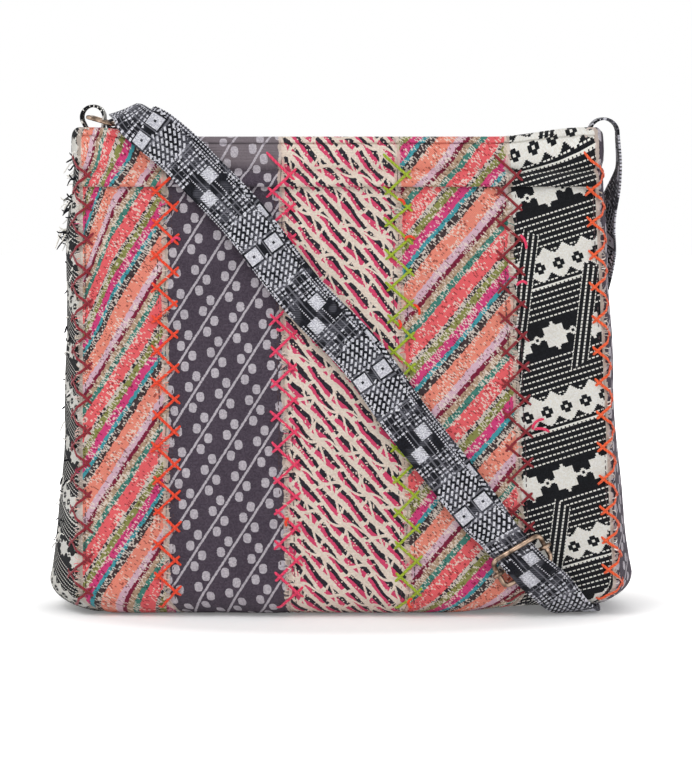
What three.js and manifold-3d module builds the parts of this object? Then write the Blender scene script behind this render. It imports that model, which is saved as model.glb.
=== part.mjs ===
// Patchwork crossbody bag: a soft box-shaped bag sewn from upright strips of woven cloth, with
// cross-stitched seams, a rolled hem, a recessed top zip and one long adjustable woven strap.
// Millimetres, +Z up, front towards -Y. The origin is the centre of the base, on the floor.

import * as THREE from 'three';
import { mergeVertices } from 'three/addons/utils/BufferGeometryUtils.js';
import Module from 'manifold-3d';

const wasm = await Module();
wasm.setup();

// Bag body
const bagHeight = 284;
const leftStripeWidth = 51;
const dottedWidth = 69.6;
const scaleWidth = 69;
const rightStripeWidth = 66;
const starWidth = 54;
const widthFlare = 12.4;
const swayTop = -2.4;
const swayBottom = 3.9;
const topHalfDepth = 16;
const baseHalfDepth = 45;
const crownTop = 3;
const crownBottom = 6.5;
const bulgeTop = 4.5;
const bulgeLeftBottom = 21;
const bulgeRightBottom = 15;
const bulgeLeftSide = 4.5;
const rimRise = 5.5;
const rimRiseReach = 62;
const bottomRoll = 18;
const cornerLift = 4.5;
const cornerLiftReach = 84;
const cloth = 1.6;
const gap = 0.3;
const mitreGap = 0.22;

// Rolled hem along the mouth, with the tuck below it
const hemRadius = 3.2;
const hemProud = 0.8;
const hemDepth = 28;
const tuckProud = 2.2;
const tuckHeight = 8;
const hemTurnIn = 17;

// Zip
const zipDrop = 13;
const zipTape = 0.8;
const zipHalfGap = 2.5;
const teethHalfWidth = 2.2;
const teethHeight = 2.2;
const teethPitch = 4;
const zipEndMargin = 9;
const zipOpenRun = 34;
const sliderLength = 11;
const sliderWidth = 8.4;
const sliderPlate = 1.3;
const sliderWedge = 2;
const pullerLength = 24;
const pullerWidth = 6.5;
const pullerThick = 1.2;
const hingePin = 1;
const hingeRise = 2.4;

// Lining
const liningThick = 0.8;
const liningSlack = 0.9;
const liningRaise = 1;
const liningDrop = 1.6;

// Cross-stitched seams
const stitchHalfWidth = 6.5;
const stitchStep = 9.5;
const stitchThread = 2;
const stitchThick = 0.8;
const stitchTopMargin = 5;
const stitchRollShare = 0.45;
const stitchRollRise = 0.95;
const stitchCornerRise = 0.6;

// Strap and its hardware
const strapWidth = 25;
const strapThick = 1.6;
const strapEndWidth = 19;
const layerStep = 2;
const layerShift = 3.5;
const strapStandOff = 4.3;
const sewnEndLength = 18;
const ringWire = 2.4;
const ringLength = 28.4;
const ringReach = 15.4;
const ringTilt = 16;
const adjusterWire = 3;
const adjusterWidth = 32.4;
const adjusterReach = 17.5;
const adjusterSkew = 14;
const barWire = 2.4;
const eyeTube = 1.1;
const tabWidth = 19;
const tabRadius = 6.7;
const tabStem = 12;
const tabLean = 3.8;
const sewnLoopRadius = 8.6;

const stripWidths = [leftStripeWidth, dottedWidth, scaleWidth, rightStripeWidth, starWidth];
const seamToSeam = stripWidths.reduce((sum, width) => sum + width, 0);
const { lerp, degToRad, clamp } = THREE.MathUtils;
const vec = (x, y, z) => new THREE.Vector3(x, y, z);

function ease(from, to, value) {
  const t = clamp((value - from) / (to - from), 0, 1);
  return t * t * (3 - 2 * t);
}

// Body shape: half width and half depth at a height, and how far the cloth bellies out
const upShare = (z) => clamp(z / bagHeight, 0, 1);
const halfWidth = (z) => (seamToSeam + widthFlare * (1 - upShare(z))) / 2;
const middleX = (z) => lerp(swayBottom, swayTop, upShare(z));
const halfDepth = (z) => lerp(baseHalfDepth, topHalfDepth, upShare(z));
const crown = (z) => lerp(crownBottom, crownTop, upShare(z) ** 2);
const baseHalfWidth = halfWidth(bottomRoll) - bottomRoll;
const baseHalfReach = halfDepth(bottomRoll) - bottomRoll;
const topHalfWidth = halfWidth(bagHeight);
const zipZ = bagHeight - zipDrop;
const tuckBottom = bagHeight - hemDepth;
const tuckTop = tuckBottom + tuckHeight;

// The left side bellies out more all the way down, from just below the hem
function bulge(side, z) {
  const bottom = side < 0 ? bulgeLeftBottom : bulgeRightBottom;
  const extra = side < 0 ? bulgeLeftSide * (1 - ease(tuckBottom - 30, tuckTop, z)) : 0;
  return lerp(bulgeTop, bottom, (1 - upShare(z)) ** 4) + extra;
}

// The mouth rises towards its two ends, and the base lifts at the right where the strap runs below
function settle(point) {
  const away = Math.abs(point.x - swayTop);
  const rise = rimRise * ease(topHalfWidth - rimRiseReach, topHalfWidth - 8, away);
  const liftStart = baseHalfWidth - cornerLiftReach;
  const lift = cornerLift * ease(liftStart, liftStart + cornerLiftReach * 0.7, point.x);
  const height = point.z;
  point.z += rise * ease(zipZ, bagHeight, height);
  point.z += lift * (1 - ease(0, bagHeight * 0.25, height));
  return point;
}

// How far a cloth layer has turned under at a row: 0 on the wall, negative further round the roll
const turnedReach = (row, inset) => (bottomRoll - inset) * Math.cos(row.roll) - bottomRoll;
const layerHeight = (row, inset) => row.z - (bottomRoll - inset) * Math.sin(row.roll);

function facePoint(side, x, row, inset) {
  const outer = halfWidth(row.z) + turnedReach(row, 0);
  const across = clamp((x - middleX(row.z)) / outer, -1, 1);
  const belly = crown(row.z) * (1 - across * across) * Math.cos(row.roll);
  const y = side * (halfDepth(row.z) + turnedReach(row, inset) + belly);
  return settle(vec(x, y, layerHeight(row, inset)));
}

function gussetPoint(side, y, row, inset) {
  const outer = halfDepth(row.z) + turnedReach(row, 0);
  const across = clamp(y / outer, -1, 1);
  const belly = bulge(side, row.z) * (1 - across * across) * Math.cos(row.roll);
  const x = middleX(row.z) + side * (halfWidth(row.z) + turnedReach(row, inset) + belly);
  return settle(vec(x, y, layerHeight(row, inset)));
}

// Rows shared by every wall panel, from the base up: the roll, the wall, then the hem
const quarterTurn = Math.PI / 2;
const hemMiddle = hemRadius - hemProud;

function panelRows(withTuck) {
  const rows = [];
  for (const share of [1, 0.75, 0.5, 0.25]) {
    rows.push({ z: bottomRoll, roll: share * quarterTurn, proud: 0, inset: cloth });
  }
  const wallSteps = 8;
  for (let i = 0; i < wallSteps; i += 1) {
    const z = lerp(bottomRoll, tuckBottom - 4, i / (wallSteps - 1));
    rows.push({ z, roll: 0, proud: 0, inset: cloth });
  }
  const proud = withTuck ? tuckProud : 0;
  rows.push({ z: tuckBottom, roll: 0, proud: 0, inset: cloth });
  if (withTuck) rows.push({ z: tuckBottom + 0.01, roll: 0, proud, inset: cloth });
  rows.push({ z: tuckTop - 1.5, roll: 0, proud, inset: cloth * 2 });
  rows.push({ z: tuckTop, roll: 0, proud: proud / 2, inset: cloth * 2 });
  const hemInset = hemMiddle + hemRadius;
  rows.push({ z: bagHeight - hemTurnIn, roll: 0, proud: hemProud, inset: hemInset });
  for (const turn of [0, 35, 70]) {
    const swing = hemRadius * Math.cos(degToRad(turn));
    const z = bagHeight - hemRadius * (1 - Math.sin(degToRad(turn)));
    rows.push({ z, roll: 0, proud: swing - hemMiddle, inset: hemMiddle + swing });
  }
  return rows;
}

// Closed solids from grids of points and from swept sections
function solidFrom(points, faces) {
  const positions = [];
  points.forEach((point) => positions.push(point.x, point.y, point.z));
  let volume = 0;
  const normal = vec(0, 0, 0);
  faces.forEach(([a, b, c]) => {
    normal.crossVectors(points[b], points[c]);
    volume += points[a].dot(normal);
  });
  const index = faces.flatMap(([a, b, c]) => (volume < 0 ? [a, c, b] : [a, b, c]));
  const geometry = new THREE.BufferGeometry();
  geometry.setAttribute('position', new THREE.Float32BufferAttribute(positions, 3));
  geometry.setIndex(index);
  return geometry;
}

function slab(outer, inner) {
  const rows = outer.length;
  const columns = outer[0].length;
  const points = [...outer.flat(), ...inner.flat()];
  const at = (layer, i, j) => layer * rows * columns + i * columns + j;
  const faces = [];
  const quad = (a, b, c, d) => faces.push([a, b, c], [a, c, d]);
  for (let i = 0; i < rows - 1; i += 1) {
    for (let j = 0; j < columns - 1; j += 1) {
      quad(at(0, i, j), at(0, i, j + 1), at(0, i + 1, j + 1), at(0, i + 1, j));
      quad(at(1, i, j), at(1, i + 1, j), at(1, i + 1, j + 1), at(1, i, j + 1));
    }
    quad(at(0, i, 0), at(0, i + 1, 0), at(1, i + 1, 0), at(1, i, 0));
    const last = columns - 1;
    quad(at(0, i, last), at(1, i, last), at(1, i + 1, last), at(0, i + 1, last));
  }
  for (let j = 0; j < columns - 1; j += 1) {
    quad(at(0, 0, j), at(1, 0, j), at(1, 0, j + 1), at(0, 0, j + 1));
    const top = rows - 1;
    quad(at(0, top, j), at(0, top, j + 1), at(1, top, j + 1), at(1, top, j));
  }
  return solidFrom(points, faces);
}

function sweep(sections, closed = false) {
  const sides = sections[0].length;
  const count = sections.length;
  const faces = [];
  const spans = closed ? count : count - 1;
  for (let i = 0; i < spans; i += 1) {
    for (let k = 0; k < sides; k += 1) {
      const next = ((i + 1) % count) * sides;
      const k2 = (k + 1) % sides;
      faces.push([i * sides + k, next + k, next + k2], [i * sides + k, next + k2, i * sides + k2]);
    }
  }
  if (!closed) {
    const end = (count - 1) * sides;
    for (let k = 1; k < sides - 1; k += 1) {
      faces.push([0, k, k + 1], [end, end + k + 1, end + k]);
    }
  }
  return solidFrom(sections.flat(), faces);
}

function ribbonSection(centre, flat, width, thick, outward) {
  const side = flat.clone().multiplyScalar(width / 2);
  const up = outward.clone().multiplyScalar(thick / 2);
  return [
    centre.clone().add(side).add(up),
    centre.clone().sub(side).add(up),
    centre.clone().sub(side).sub(up),
    centre.clone().add(side).sub(up),
  ];
}

function wireSection(centre, first, second, radius, sides = 8) {
  const section = [];
  for (let k = 0; k < sides; k += 1) {
    const angle = ((k + 0.5) / sides) * Math.PI * 2;
    const point = centre.clone().addScaledVector(first, radius * Math.cos(angle));
    section.push(point.addScaledVector(second, radius * Math.sin(angle)));
  }
  return section;
}

function toManifold(geometry) {
  const bare = geometry.clone();
  bare.deleteAttribute('normal');
  bare.deleteAttribute('uv');
  const merged = mergeVertices(bare, 1e-4);
  const vertProperties = new Float32Array(merged.attributes.position.array);
  const triVerts = new Uint32Array(merged.index.array);
  return new wasm.Manifold(new wasm.Mesh({ numProp: 3, vertProperties, triVerts }));
}

function fromManifold(solid) {
  const mesh = solid.getMesh();
  const geometry = new THREE.BufferGeometry();
  geometry.setAttribute('position', new THREE.BufferAttribute(mesh.vertProperties, 3));
  geometry.setIndex(new THREE.BufferAttribute(mesh.triVerts, 1));
  return geometry;
}

function joined(geometries) {
  return fromManifold(geometries.map(toManifold).reduce((whole, piece) => whole.add(piece)));
}

function block(sizeX, sizeY, sizeZ, x, y, z) {
  return new THREE.BoxGeometry(sizeX, sizeY, sizeZ).translate(x, y, z);
}

const group = new THREE.Group();

function addPiece(name, geometry, material) {
  const mesh = new THREE.Mesh(geometry, material.clone());
  mesh.name = name;
  group.add(mesh);
}

const clothOf = (color) => new THREE.MeshStandardMaterial({ color, roughness: 0.92, metalness: 0 });
const cloths = {
  stripe: clothOf('#e07b74'),
  dotted: clothOf('#5a515c'),
  scale: clothOf('#e3a9a0'),
  star: clothOf('#8d8a85'),
  lining: clothOf('#2b2a30'),
  strap: clothOf('#55565f'),
  tape: clothOf('#1c1c20'),
};
const brass = new THREE.MeshStandardMaterial({ color: '#8c6b46', roughness: 0.35, metalness: 1 });
const blackPlastic = new THREE.MeshStandardMaterial({ color: '#18181b', roughness: 0.5 });

// Wall strips
const seamShares = [-1];
stripWidths.forEach((width) => seamShares.push(seamShares.at(-1) + (2 * width) / seamToSeam));

function seamX(index, row, inset) {
  const last = stripWidths.length;
  const corner = halfWidth(row.z) + turnedReach(row, Math.max(inset, 0));
  if (index === 0) return middleX(row.z) - corner + mitreGap;
  if (index === last) return middleX(row.z) + corner - mitreGap;
  const outer = halfWidth(row.z) + turnedReach(row, 0);
  return middleX(row.z) + seamShares[index] * outer;
}

function stripGeometry(side, index, rows, columns) {
  const leftPull = index === 0 ? 0 : gap / 2;
  const rightPull = index === stripWidths.length - 1 ? 0 : gap / 2;
  const layer = (insetOf) => rows.map((row) => {
    const inset = insetOf(row);
    const left = seamX(index, row, inset) + leftPull;
    const right = seamX(index + 1, row, inset) - rightPull;
    const line = [];
    for (let j = 0; j <= columns; j += 1) {
      line.push(facePoint(side, lerp(left, right, j / columns), row, inset));
    }
    return line;
  });
  return slab(layer((row) => -row.proud), layer((row) => row.inset));
}

const frontStrips = [
  ['front_strip_stripe_left', 'stripe'],
  ['front_strip_dotted', 'dotted'],
  ['front_strip_scale', 'scale'],
  ['front_strip_stripe_right', 'stripe'],
  ['front_strip_star', 'star'],
];
const backStrips = [
  ['back_strip_scale_left', 'scale'],
  ['back_strip_stripe_left', 'stripe'],
  ['back_strip_dotted', 'dotted'],
  ['back_strip_scale_right', 'scale'],
  ['back_strip_stripe_right', 'stripe'],
];
const frontRows = panelRows(true);
const plainRows = panelRows(false);
frontStrips.forEach(([name, weave], index) => {
  addPiece(name, stripGeometry(-1, index, frontRows, 4), cloths[weave]);
});
backStrips.forEach(([name, weave], index) => {
  addPiece(name, stripGeometry(1, index, plainRows, 3), cloths[weave]);
});

// Side gussets
const gussetColumns = 4;

function gussetGeometry(side) {
  const columns = gussetColumns;
  const layer = (insetOf) => plainRows.map((row) => {
    const inset = insetOf(row);
    const edge = halfDepth(row.z) + turnedReach(row, Math.max(inset, 0)) - mitreGap;
    const line = [];
    for (let j = 0; j <= columns; j += 1) {
      line.push(gussetPoint(side, lerp(-edge, edge, j / columns), row, inset));
    }
    return line;
  });
  return slab(layer((row) => -row.proud), layer((row) => row.inset));
}
addPiece('gusset_left', gussetGeometry(-1), cloths.star);
addPiece('gusset_right', gussetGeometry(1), cloths.dotted);

// Base panel between the four rolls
function baseGeometry() {
  const columns = 12;
  const reach = baseHalfReach - gap;
  const layer = (inset) => [-reach, reach].map((y) => {
    const line = [];
    for (let j = 0; j <= columns; j += 1) {
      const x = middleX(bottomRoll) + lerp(-1, 1, j / columns) * (baseHalfWidth - gap);
      line.push(settle(vec(x, y, inset)));
    }
    return line;
  });
  return slab(layer(0), layer(cloth));
}
addPiece('base_panel', baseGeometry(), cloths.dotted);

// Lining: one open-topped bag just inside the outer cloth
function liningRing(row, inset, stops) {
  const ring = [];
  const corner = halfWidth(row.z) + turnedReach(row, inset);
  const depth = halfDepth(row.z) + turnedReach(row, inset);
  for (let j = 0; j < stops; j += 1) {
    const x = middleX(row.z) + lerp(-1, 1, j / stops) * corner;
    ring.push(facePoint(-1, x, row, inset));
  }
  const sideStops = gussetColumns;
  for (let j = 0; j < sideStops; j += 1) {
    ring.push(gussetPoint(1, lerp(-1, 1, j / sideStops) * depth, row, inset));
  }
  for (let j = 0; j < stops; j += 1) {
    const x = middleX(row.z) + lerp(1, -1, j / stops) * corner;
    ring.push(facePoint(1, x, row, inset));
  }
  for (let j = 0; j < sideStops; j += 1) {
    ring.push(gussetPoint(-1, lerp(1, -1, j / sideStops) * depth, row, inset));
  }
  return ring;
}

function liningGeometry() {
  const deepest = { z: bottomRoll, roll: quarterTurn, inset: cloth + liningRaise };
  const walls = plainRows.filter((row) => row.roll === 0 && row.z < zipZ - liningDrop - 1);
  const topRow = { z: zipZ - liningDrop, roll: 0, inset: hemMiddle + hemRadius };
  const sections = [];
  const stops = 9;
  const addRings = (list, extra) => list.forEach((row) => {
    sections.push(liningRing(row, row.inset + liningSlack + extra, stops));
  });
  const chain = [deepest, ...walls, topRow];
  addRings(chain, 0);
  addRings([...chain].reverse(), liningThick);
  return sweep(sections);
}
addPiece('lining', liningGeometry(), cloths.lining);

// Zip
const mouthInset = hemMiddle + hemRadius + gap;
const zipLeft = middleX(zipZ) - topHalfWidth + zipEndMargin;
const zipRight = middleX(zipZ) + topHalfWidth - zipEndMargin;
const teethRight = zipRight - zipOpenRun;

function zipTapeGeometry(side) {
  const columns = 14;
  const row = { z: zipZ, roll: 0 };
  const edge = (x, y, level) => settle(vec(x, y, zipZ + level));
  const layer = (level) => [0, 1].map((outer) => {
    const line = [];
    for (let j = 0; j <= columns; j += 1) {
      const x = lerp(zipLeft, zipRight, j / columns);
      const wall = facePoint(side, x, row, mouthInset).y;
      line.push(edge(x, outer ? wall : side * zipHalfGap, level));
    }
    return line;
  });
  return slab(layer(zipTape / 2), layer(-zipTape / 2));
}
addPiece('zip_tape_front', zipTapeGeometry(-1), cloths.tape);
addPiece('zip_tape_back', zipTapeGeometry(1), cloths.tape);

function zipTeethGeometry() {
  const sections = [];
  const count = Math.floor((teethRight - zipLeft) / teethPitch);
  for (let i = 0; i <= count * 2; i += 1) {
    const x = zipLeft + (i * teethPitch) / 2;
    const crest = i % 2 === 1 ? 1 : 0.72;
    const centre = settle(vec(x, 0, zipZ));
    const width = teethHalfWidth * 2;
    sections.push(ribbonSection(centre, vec(0, 1, 0), width, teethHeight * crest, vec(0, 0, 1)));
  }
  return sweep(sections);
}
addPiece('zip_teeth', zipTeethGeometry(), blackPlastic);

const sliderX = teethRight;
const sliderZ = settle(vec(sliderX, 0, zipZ)).z;
const plateOffset = teethHeight / 2 + gap * 2 + sliderPlate / 2;
const sliderTop = sliderZ + plateOffset + sliderPlate / 2;
const hingeZ = sliderTop + hingeRise;

function zipSliderGeometry() {
  const plate = (level) => block(sliderLength, sliderWidth, sliderPlate, sliderX, 0, sliderZ + level);
  const wedgeX = sliderX + sliderLength / 2 - sliderWedge / 2;
  const wedge = block(sliderWedge, sliderWedge, plateOffset * 2, wedgeX, 0, sliderZ);
  const lugHeight = hingeRise + hingePin;
  const lug = (y) => block(3.4, 1, lugHeight, sliderX, y, sliderTop + lugHeight / 2 - 0.2);
  const pin = new THREE.CylinderGeometry(hingePin / 2, hingePin / 2, 5, 10).translate(sliderX, 0, hingeZ);
  return joined([plate(plateOffset), plate(-plateOffset), wedge, lug(-2.2), lug(2.2), pin]);
}
addPiece('zip_slider', zipSliderGeometry(), brass);

function zipPullerGeometry() {
  const eye = hingePin / 2 + gap;
  const outline = new THREE.Shape();
  const half = pullerWidth / 2;
  const neck = 1.5;
  const rest = eye + 1.2;
  outline.moveTo(rest, -neck);
  outline.lineTo(rest, neck);
  outline.lineTo(-5, neck);
  outline.lineTo(-8, half);
  outline.lineTo(-pullerLength + half, half);
  outline.absarc(-pullerLength + half, 0, half, quarterTurn, quarterTurn * 3, false);
  outline.lineTo(-8, -half);
  outline.lineTo(-5, -neck);
  outline.closePath();
  const hole = new THREE.Path();
  hole.absarc(-pullerLength + half + 1, 0, 1.4, 0, Math.PI * 2, true);
  outline.holes.push(hole);
  const blade = new THREE.ExtrudeGeometry(outline, { depth: pullerThick, bevelEnabled: false, curveSegments: 10 });
  const bored = new THREE.CylinderGeometry(eye, eye, neck * 4, 12);
  const barrel = new THREE.CylinderGeometry(eye + 0.8, eye + 0.8, neck * 2, 14);
  const flat = toManifold(blade.translate(0, 0, -pullerThick / 2));
  const whole = flat.add(toManifold(barrel)).subtract(toManifold(bored));
  return fromManifold(whole).rotateZ(Math.PI).translate(sliderX, 0, hingeZ);
}
addPiece('zip_puller', zipPullerGeometry(), brass);

function zipStopGeometry(x) {
  const centre = settle(vec(x, 0, zipZ));
  const rise = zipTape / 2 + gap + 0.5;
  return joined([
    block(2.2, 9, 1, centre.x, 0, centre.z + rise),
    block(2.2, 9, 1, centre.x, 0, centre.z - rise),
    block(2.2, 2.4, rise * 2, centre.x, 0, centre.z),
  ]);
}
addPiece('zip_stop_right', zipStopGeometry(zipRight - 2), brass);

// Cross-stitched seam rows, each a zigzag of heavy thread lying on the cloth
const stitchRollEnd = quarterTurn * stitchRollShare;
const rollArc = stitchRollEnd * bottomRoll;

function stitchRow(distance) {
  if (distance < rollArc) {
    return { z: bottomRoll, roll: (rollArc - distance) / bottomRoll };
  }
  return { z: bottomRoll + distance - rollArc, roll: 0 };
}

function stitchLevel(distance, side) {
  const z = stitchRow(distance).z;
  const near = (from, to) => z > from - stitchStep && z < to + stitchStep;
  const overHem = near(bagHeight - hemTurnIn, bagHeight) ? hemProud : 0;
  const overTuck = side < 0 && near(tuckBottom, tuckTop) ? tuckProud : 0;
  const overRoll = distance < rollArc + stitchStep ? stitchRollRise : 0;
  return gap + stitchThick / 2 + Math.max(overHem, overTuck, overRoll);
}

const stitchRun = rollArc + bagHeight - stitchTopMargin - bottomRoll;
const stitchCount = Math.floor(stitchRun / stitchStep);

// A section is cut level across the slanting thread, so it is wider than the thread itself
const threadSpread = (stitchThread * Math.hypot(stitchHalfWidth * 2, stitchStep)) / stitchStep;

function threadSection(pointAt, spread) {
  const middle = pointAt(0, 0);
  const across = pointAt(0.5, 0).sub(pointAt(-0.5, 0)).normalize();
  const outward = pointAt(0, 1).sub(middle).normalize();
  return ribbonSection(middle, across, spread, stitchThick, outward);
}

function faceStitchGeometry(side, seam) {
  const sections = [];
  for (let i = 0; i <= stitchCount; i += 1) {
    const cast = i % 2 === 0 ? -stitchHalfWidth : stitchHalfWidth;
    const distance = i * stitchStep + stitchThread / 2;
    const row = stitchRow(distance);
    const pointAt = (slide, lift) => {
      const level = stitchLevel(distance, side) + lift;
      return facePoint(side, seamX(seam, row, 0) + cast + slide, row, -level);
    };
    sections.push(threadSection(pointAt, threadSpread));
  }
  return sweep(sections);
}

function cornerStitchGeometry(side, end) {
  const sections = [];
  const seam = end < 0 ? 0 : stripWidths.length;
  for (let i = 0; i <= stitchCount * 2; i += 1) {
    const distance = (i * stitchStep) / 2 + stitchThread / 2;
    const where = i % 4;
    const row = stitchRow(distance);
    const atCorner = where % 2 === 1;
    const pointAt = (slide, lift) => {
      const level = stitchLevel(distance, side) + lift + (atCorner ? stitchCornerRise : 0);
      const cornerX = seamX(seam, row, 0);
      if (where === 0) return facePoint(side, cornerX - end * (stitchHalfWidth - slide), row, -level);
      const wrap = halfDepth(row.z) + turnedReach(row, 0) - stitchHalfWidth - slide;
      if (where === 2) return gussetPoint(end, side * wrap, row, -level);
      const reach = turnedReach(row, -level);
      const outX = middleX(row.z) + end * (halfWidth(row.z) + reach + slide * 0.7);
      const outY = side * (halfDepth(row.z) + reach - slide * 0.7);
      return settle(vec(outX, outY, layerHeight(row, -level)));
    };
    sections.push(threadSection(pointAt, atCorner ? stitchThread : threadSpread));
  }
  return sweep(sections);
}

const threadColours = ['#7e0f20', '#f0401f', '#ee3560', '#a8c41e', '#7e0f20', '#f25a2a'];
const lastSeam = stripWidths.length;
for (const [face, side] of [['front', -1], ['back', 1]]) {
  for (let seam = 0; seam <= lastSeam; seam += 1) {
    const thread = clothOf(threadColours[seam]);
    const atCorner = seam === 0 || seam === lastSeam;
    const end = seam === 0 ? -1 : 1;
    const geometry = atCorner ? cornerStitchGeometry(side, end) : faceStitchGeometry(side, seam);
    addPiece(`stitch_row_${face}_${seam + 1}`, geometry, thread);
  }
}

// Left tab: a cloth loop sewn inside the top of the left gusset
const leftEndX = middleX(bagHeight) - topHalfWidth;
const bulgeBeside = (width) => bulgeTop * (1 - (width / 2 / topHalfDepth) ** 2);
const tabOuterX = leftEndX - bulgeBeside(tabWidth) + mouthInset + strapThick / 2;
const tabCentreX = tabOuterX + tabLean;
const rimZ = bagHeight + rimRise;
const tabCentreZ = rimZ + tabRadius + strapThick / 2;

function tabGeometry() {
  const across = vec(0, 1, 0);
  const sections = [];
  const leg = (x, z, outward) => {
    sections.push(ribbonSection(vec(x, 0, z), across, tabWidth, strapThick, outward));
  };
  leg(tabOuterX, rimZ - tabStem, vec(-1, 0, 0));
  leg(tabOuterX, rimZ + gap, vec(-1, 0, 0));
  for (let turn = 200; turn >= -20; turn -= 20) {
    const outward = vec(Math.cos(degToRad(turn)), 0, Math.sin(degToRad(turn)));
    leg(tabCentreX + tabRadius * outward.x, tabCentreZ + tabRadius * outward.z, outward);
  }
  const tapeTop = settle(vec(zipLeft, 0, zipZ + zipTape / 2)).z;
  leg(tabCentreX + tabRadius - 1, rimZ - 4, vec(1, 0, 0));
  leg(tabCentreX + tabRadius - 1, tapeTop + gap * 2, vec(1, 0, 0));
  return sweep(sections);
}
addPiece('tab_left', tabGeometry(), cloths.star);

// Left ring: a rectangular wire ring, one long side in the tab loop and one in the strap's fold
const ringPivot = vec(tabCentreX - tabRadius * 0.35, 0, tabCentreZ);
const ringAcross = vec(Math.cos(degToRad(ringTilt)), 0, -Math.sin(degToRad(ringTilt)));
const ringFar = ringPivot.clone().addScaledVector(ringAcross, ringReach);

function wireLoop(length, reach, bend, wire, place, sideStops = []) {
  const outline = [];
  const corners = [[1, 1], [-1, 1], [-1, -1], [1, -1]];
  corners.forEach(([cx, cy], index) => {
    for (let k = 0; k <= 3; k += 1) {
      const angle = quarterTurn * (index + k / 3);
      const u = cx * (reach / 2 - bend) + bend * Math.cos(angle);
      const w = cy * (length / 2 - bend) + bend * Math.sin(angle);
      outline.push({ u, w, angle });
    }
    const along = index === 0 ? [...sideStops].reverse() : sideStops;
    if (index % 2 === 0) along.forEach((u) => outline.push({ u, w: (cy * length) / 2, angle: cy * quarterTurn }));
  });
  const sections = outline.map(({ u, w, angle }) => {
    const centre = place(u, w, 0);
    const tiny = 0.01;
    const out = place(u + tiny * Math.cos(angle), w + tiny * Math.sin(angle), 0).sub(centre).normalize();
    const lift = place(u, w, 1).sub(centre);
    lift.addScaledVector(out, -lift.dot(out)).normalize();
    return wireSection(centre, out, lift, wire / 2);
  });
  return sweep(sections, true);
}

const ringNormal = new THREE.Vector3().crossVectors(ringAcross, vec(0, 1, 0)).normalize();
const ringPlace = (u, w, n) => ringPivot.clone()
  .addScaledVector(ringAcross, u + ringReach / 2)
  .addScaledVector(vec(0, 1, 0), w)
  .addScaledVector(ringNormal, n);
addPiece('ring_left', wireLoop(ringLength, ringReach, 3, ringWire, ringPlace), brass);

// Strap. Its spine is the line of the under layer: from the ring down across the front to the
// adjuster, then on as the single layer round the lower right corner and up the back.
const foldRadius = ringWire / 2 + gap * 2 + strapThick / 2;

function outsidePoint(side, x, height, off) {
  const onWall = height >= bottomRoll;
  const row = onWall
    ? { z: height, roll: 0 }
    : { z: bottomRoll, roll: (bottomRoll - height) / bottomRoll };
  return facePoint(side, x, row, -off);
}

function onFace(side, x, height, off = strapStandOff, width = strapWidth) {
  const alongX = outsidePoint(side, x + 1, height, off).sub(outsidePoint(side, x - 1, height, off));
  const alongZ = outsidePoint(side, x, height + 1, off).sub(outsidePoint(side, x, height - 1, off));
  const normal = new THREE.Vector3().crossVectors(alongX, alongZ).normalize();
  return { point: outsidePoint(side, x, height, off), normal: normal.multiplyScalar(-side), width };
}

// Places on the face are given as shares of the half width and of the height
const shareX = (share, height) => middleX(height) + share * halfWidth(height);
const onFront = (share, up, off, width) => onFace(-1, shareX(share, up * bagHeight), up * bagHeight, off, width);
const onBack = (share, up, off, width) => onFace(1, shareX(share, up * bagHeight), up * bagHeight, off, width);
const tilted = (degrees) => vec(0, -Math.sin(degToRad(degrees)), Math.cos(degToRad(degrees)));

const backCorner = (up, off) => {
  const z = up * bagHeight;
  return vec(middleX(z) + halfWidth(z) + off, halfDepth(z) + off, z);
};
const rimFront = -topHalfDepth - hemProud;
const underX = shareX(0.87, 0);
const floorLevel = strapThick / 2;
const rightEndX = middleX(bagHeight) + topHalfWidth;
const sewnInnerX = rightEndX + bulgeBeside(strapEndWidth) - mouthInset - strapThick / 2;
const loopCentreX = sewnInnerX + sewnLoopRadius;
const loopCentreZ = rimZ - 2;

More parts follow.
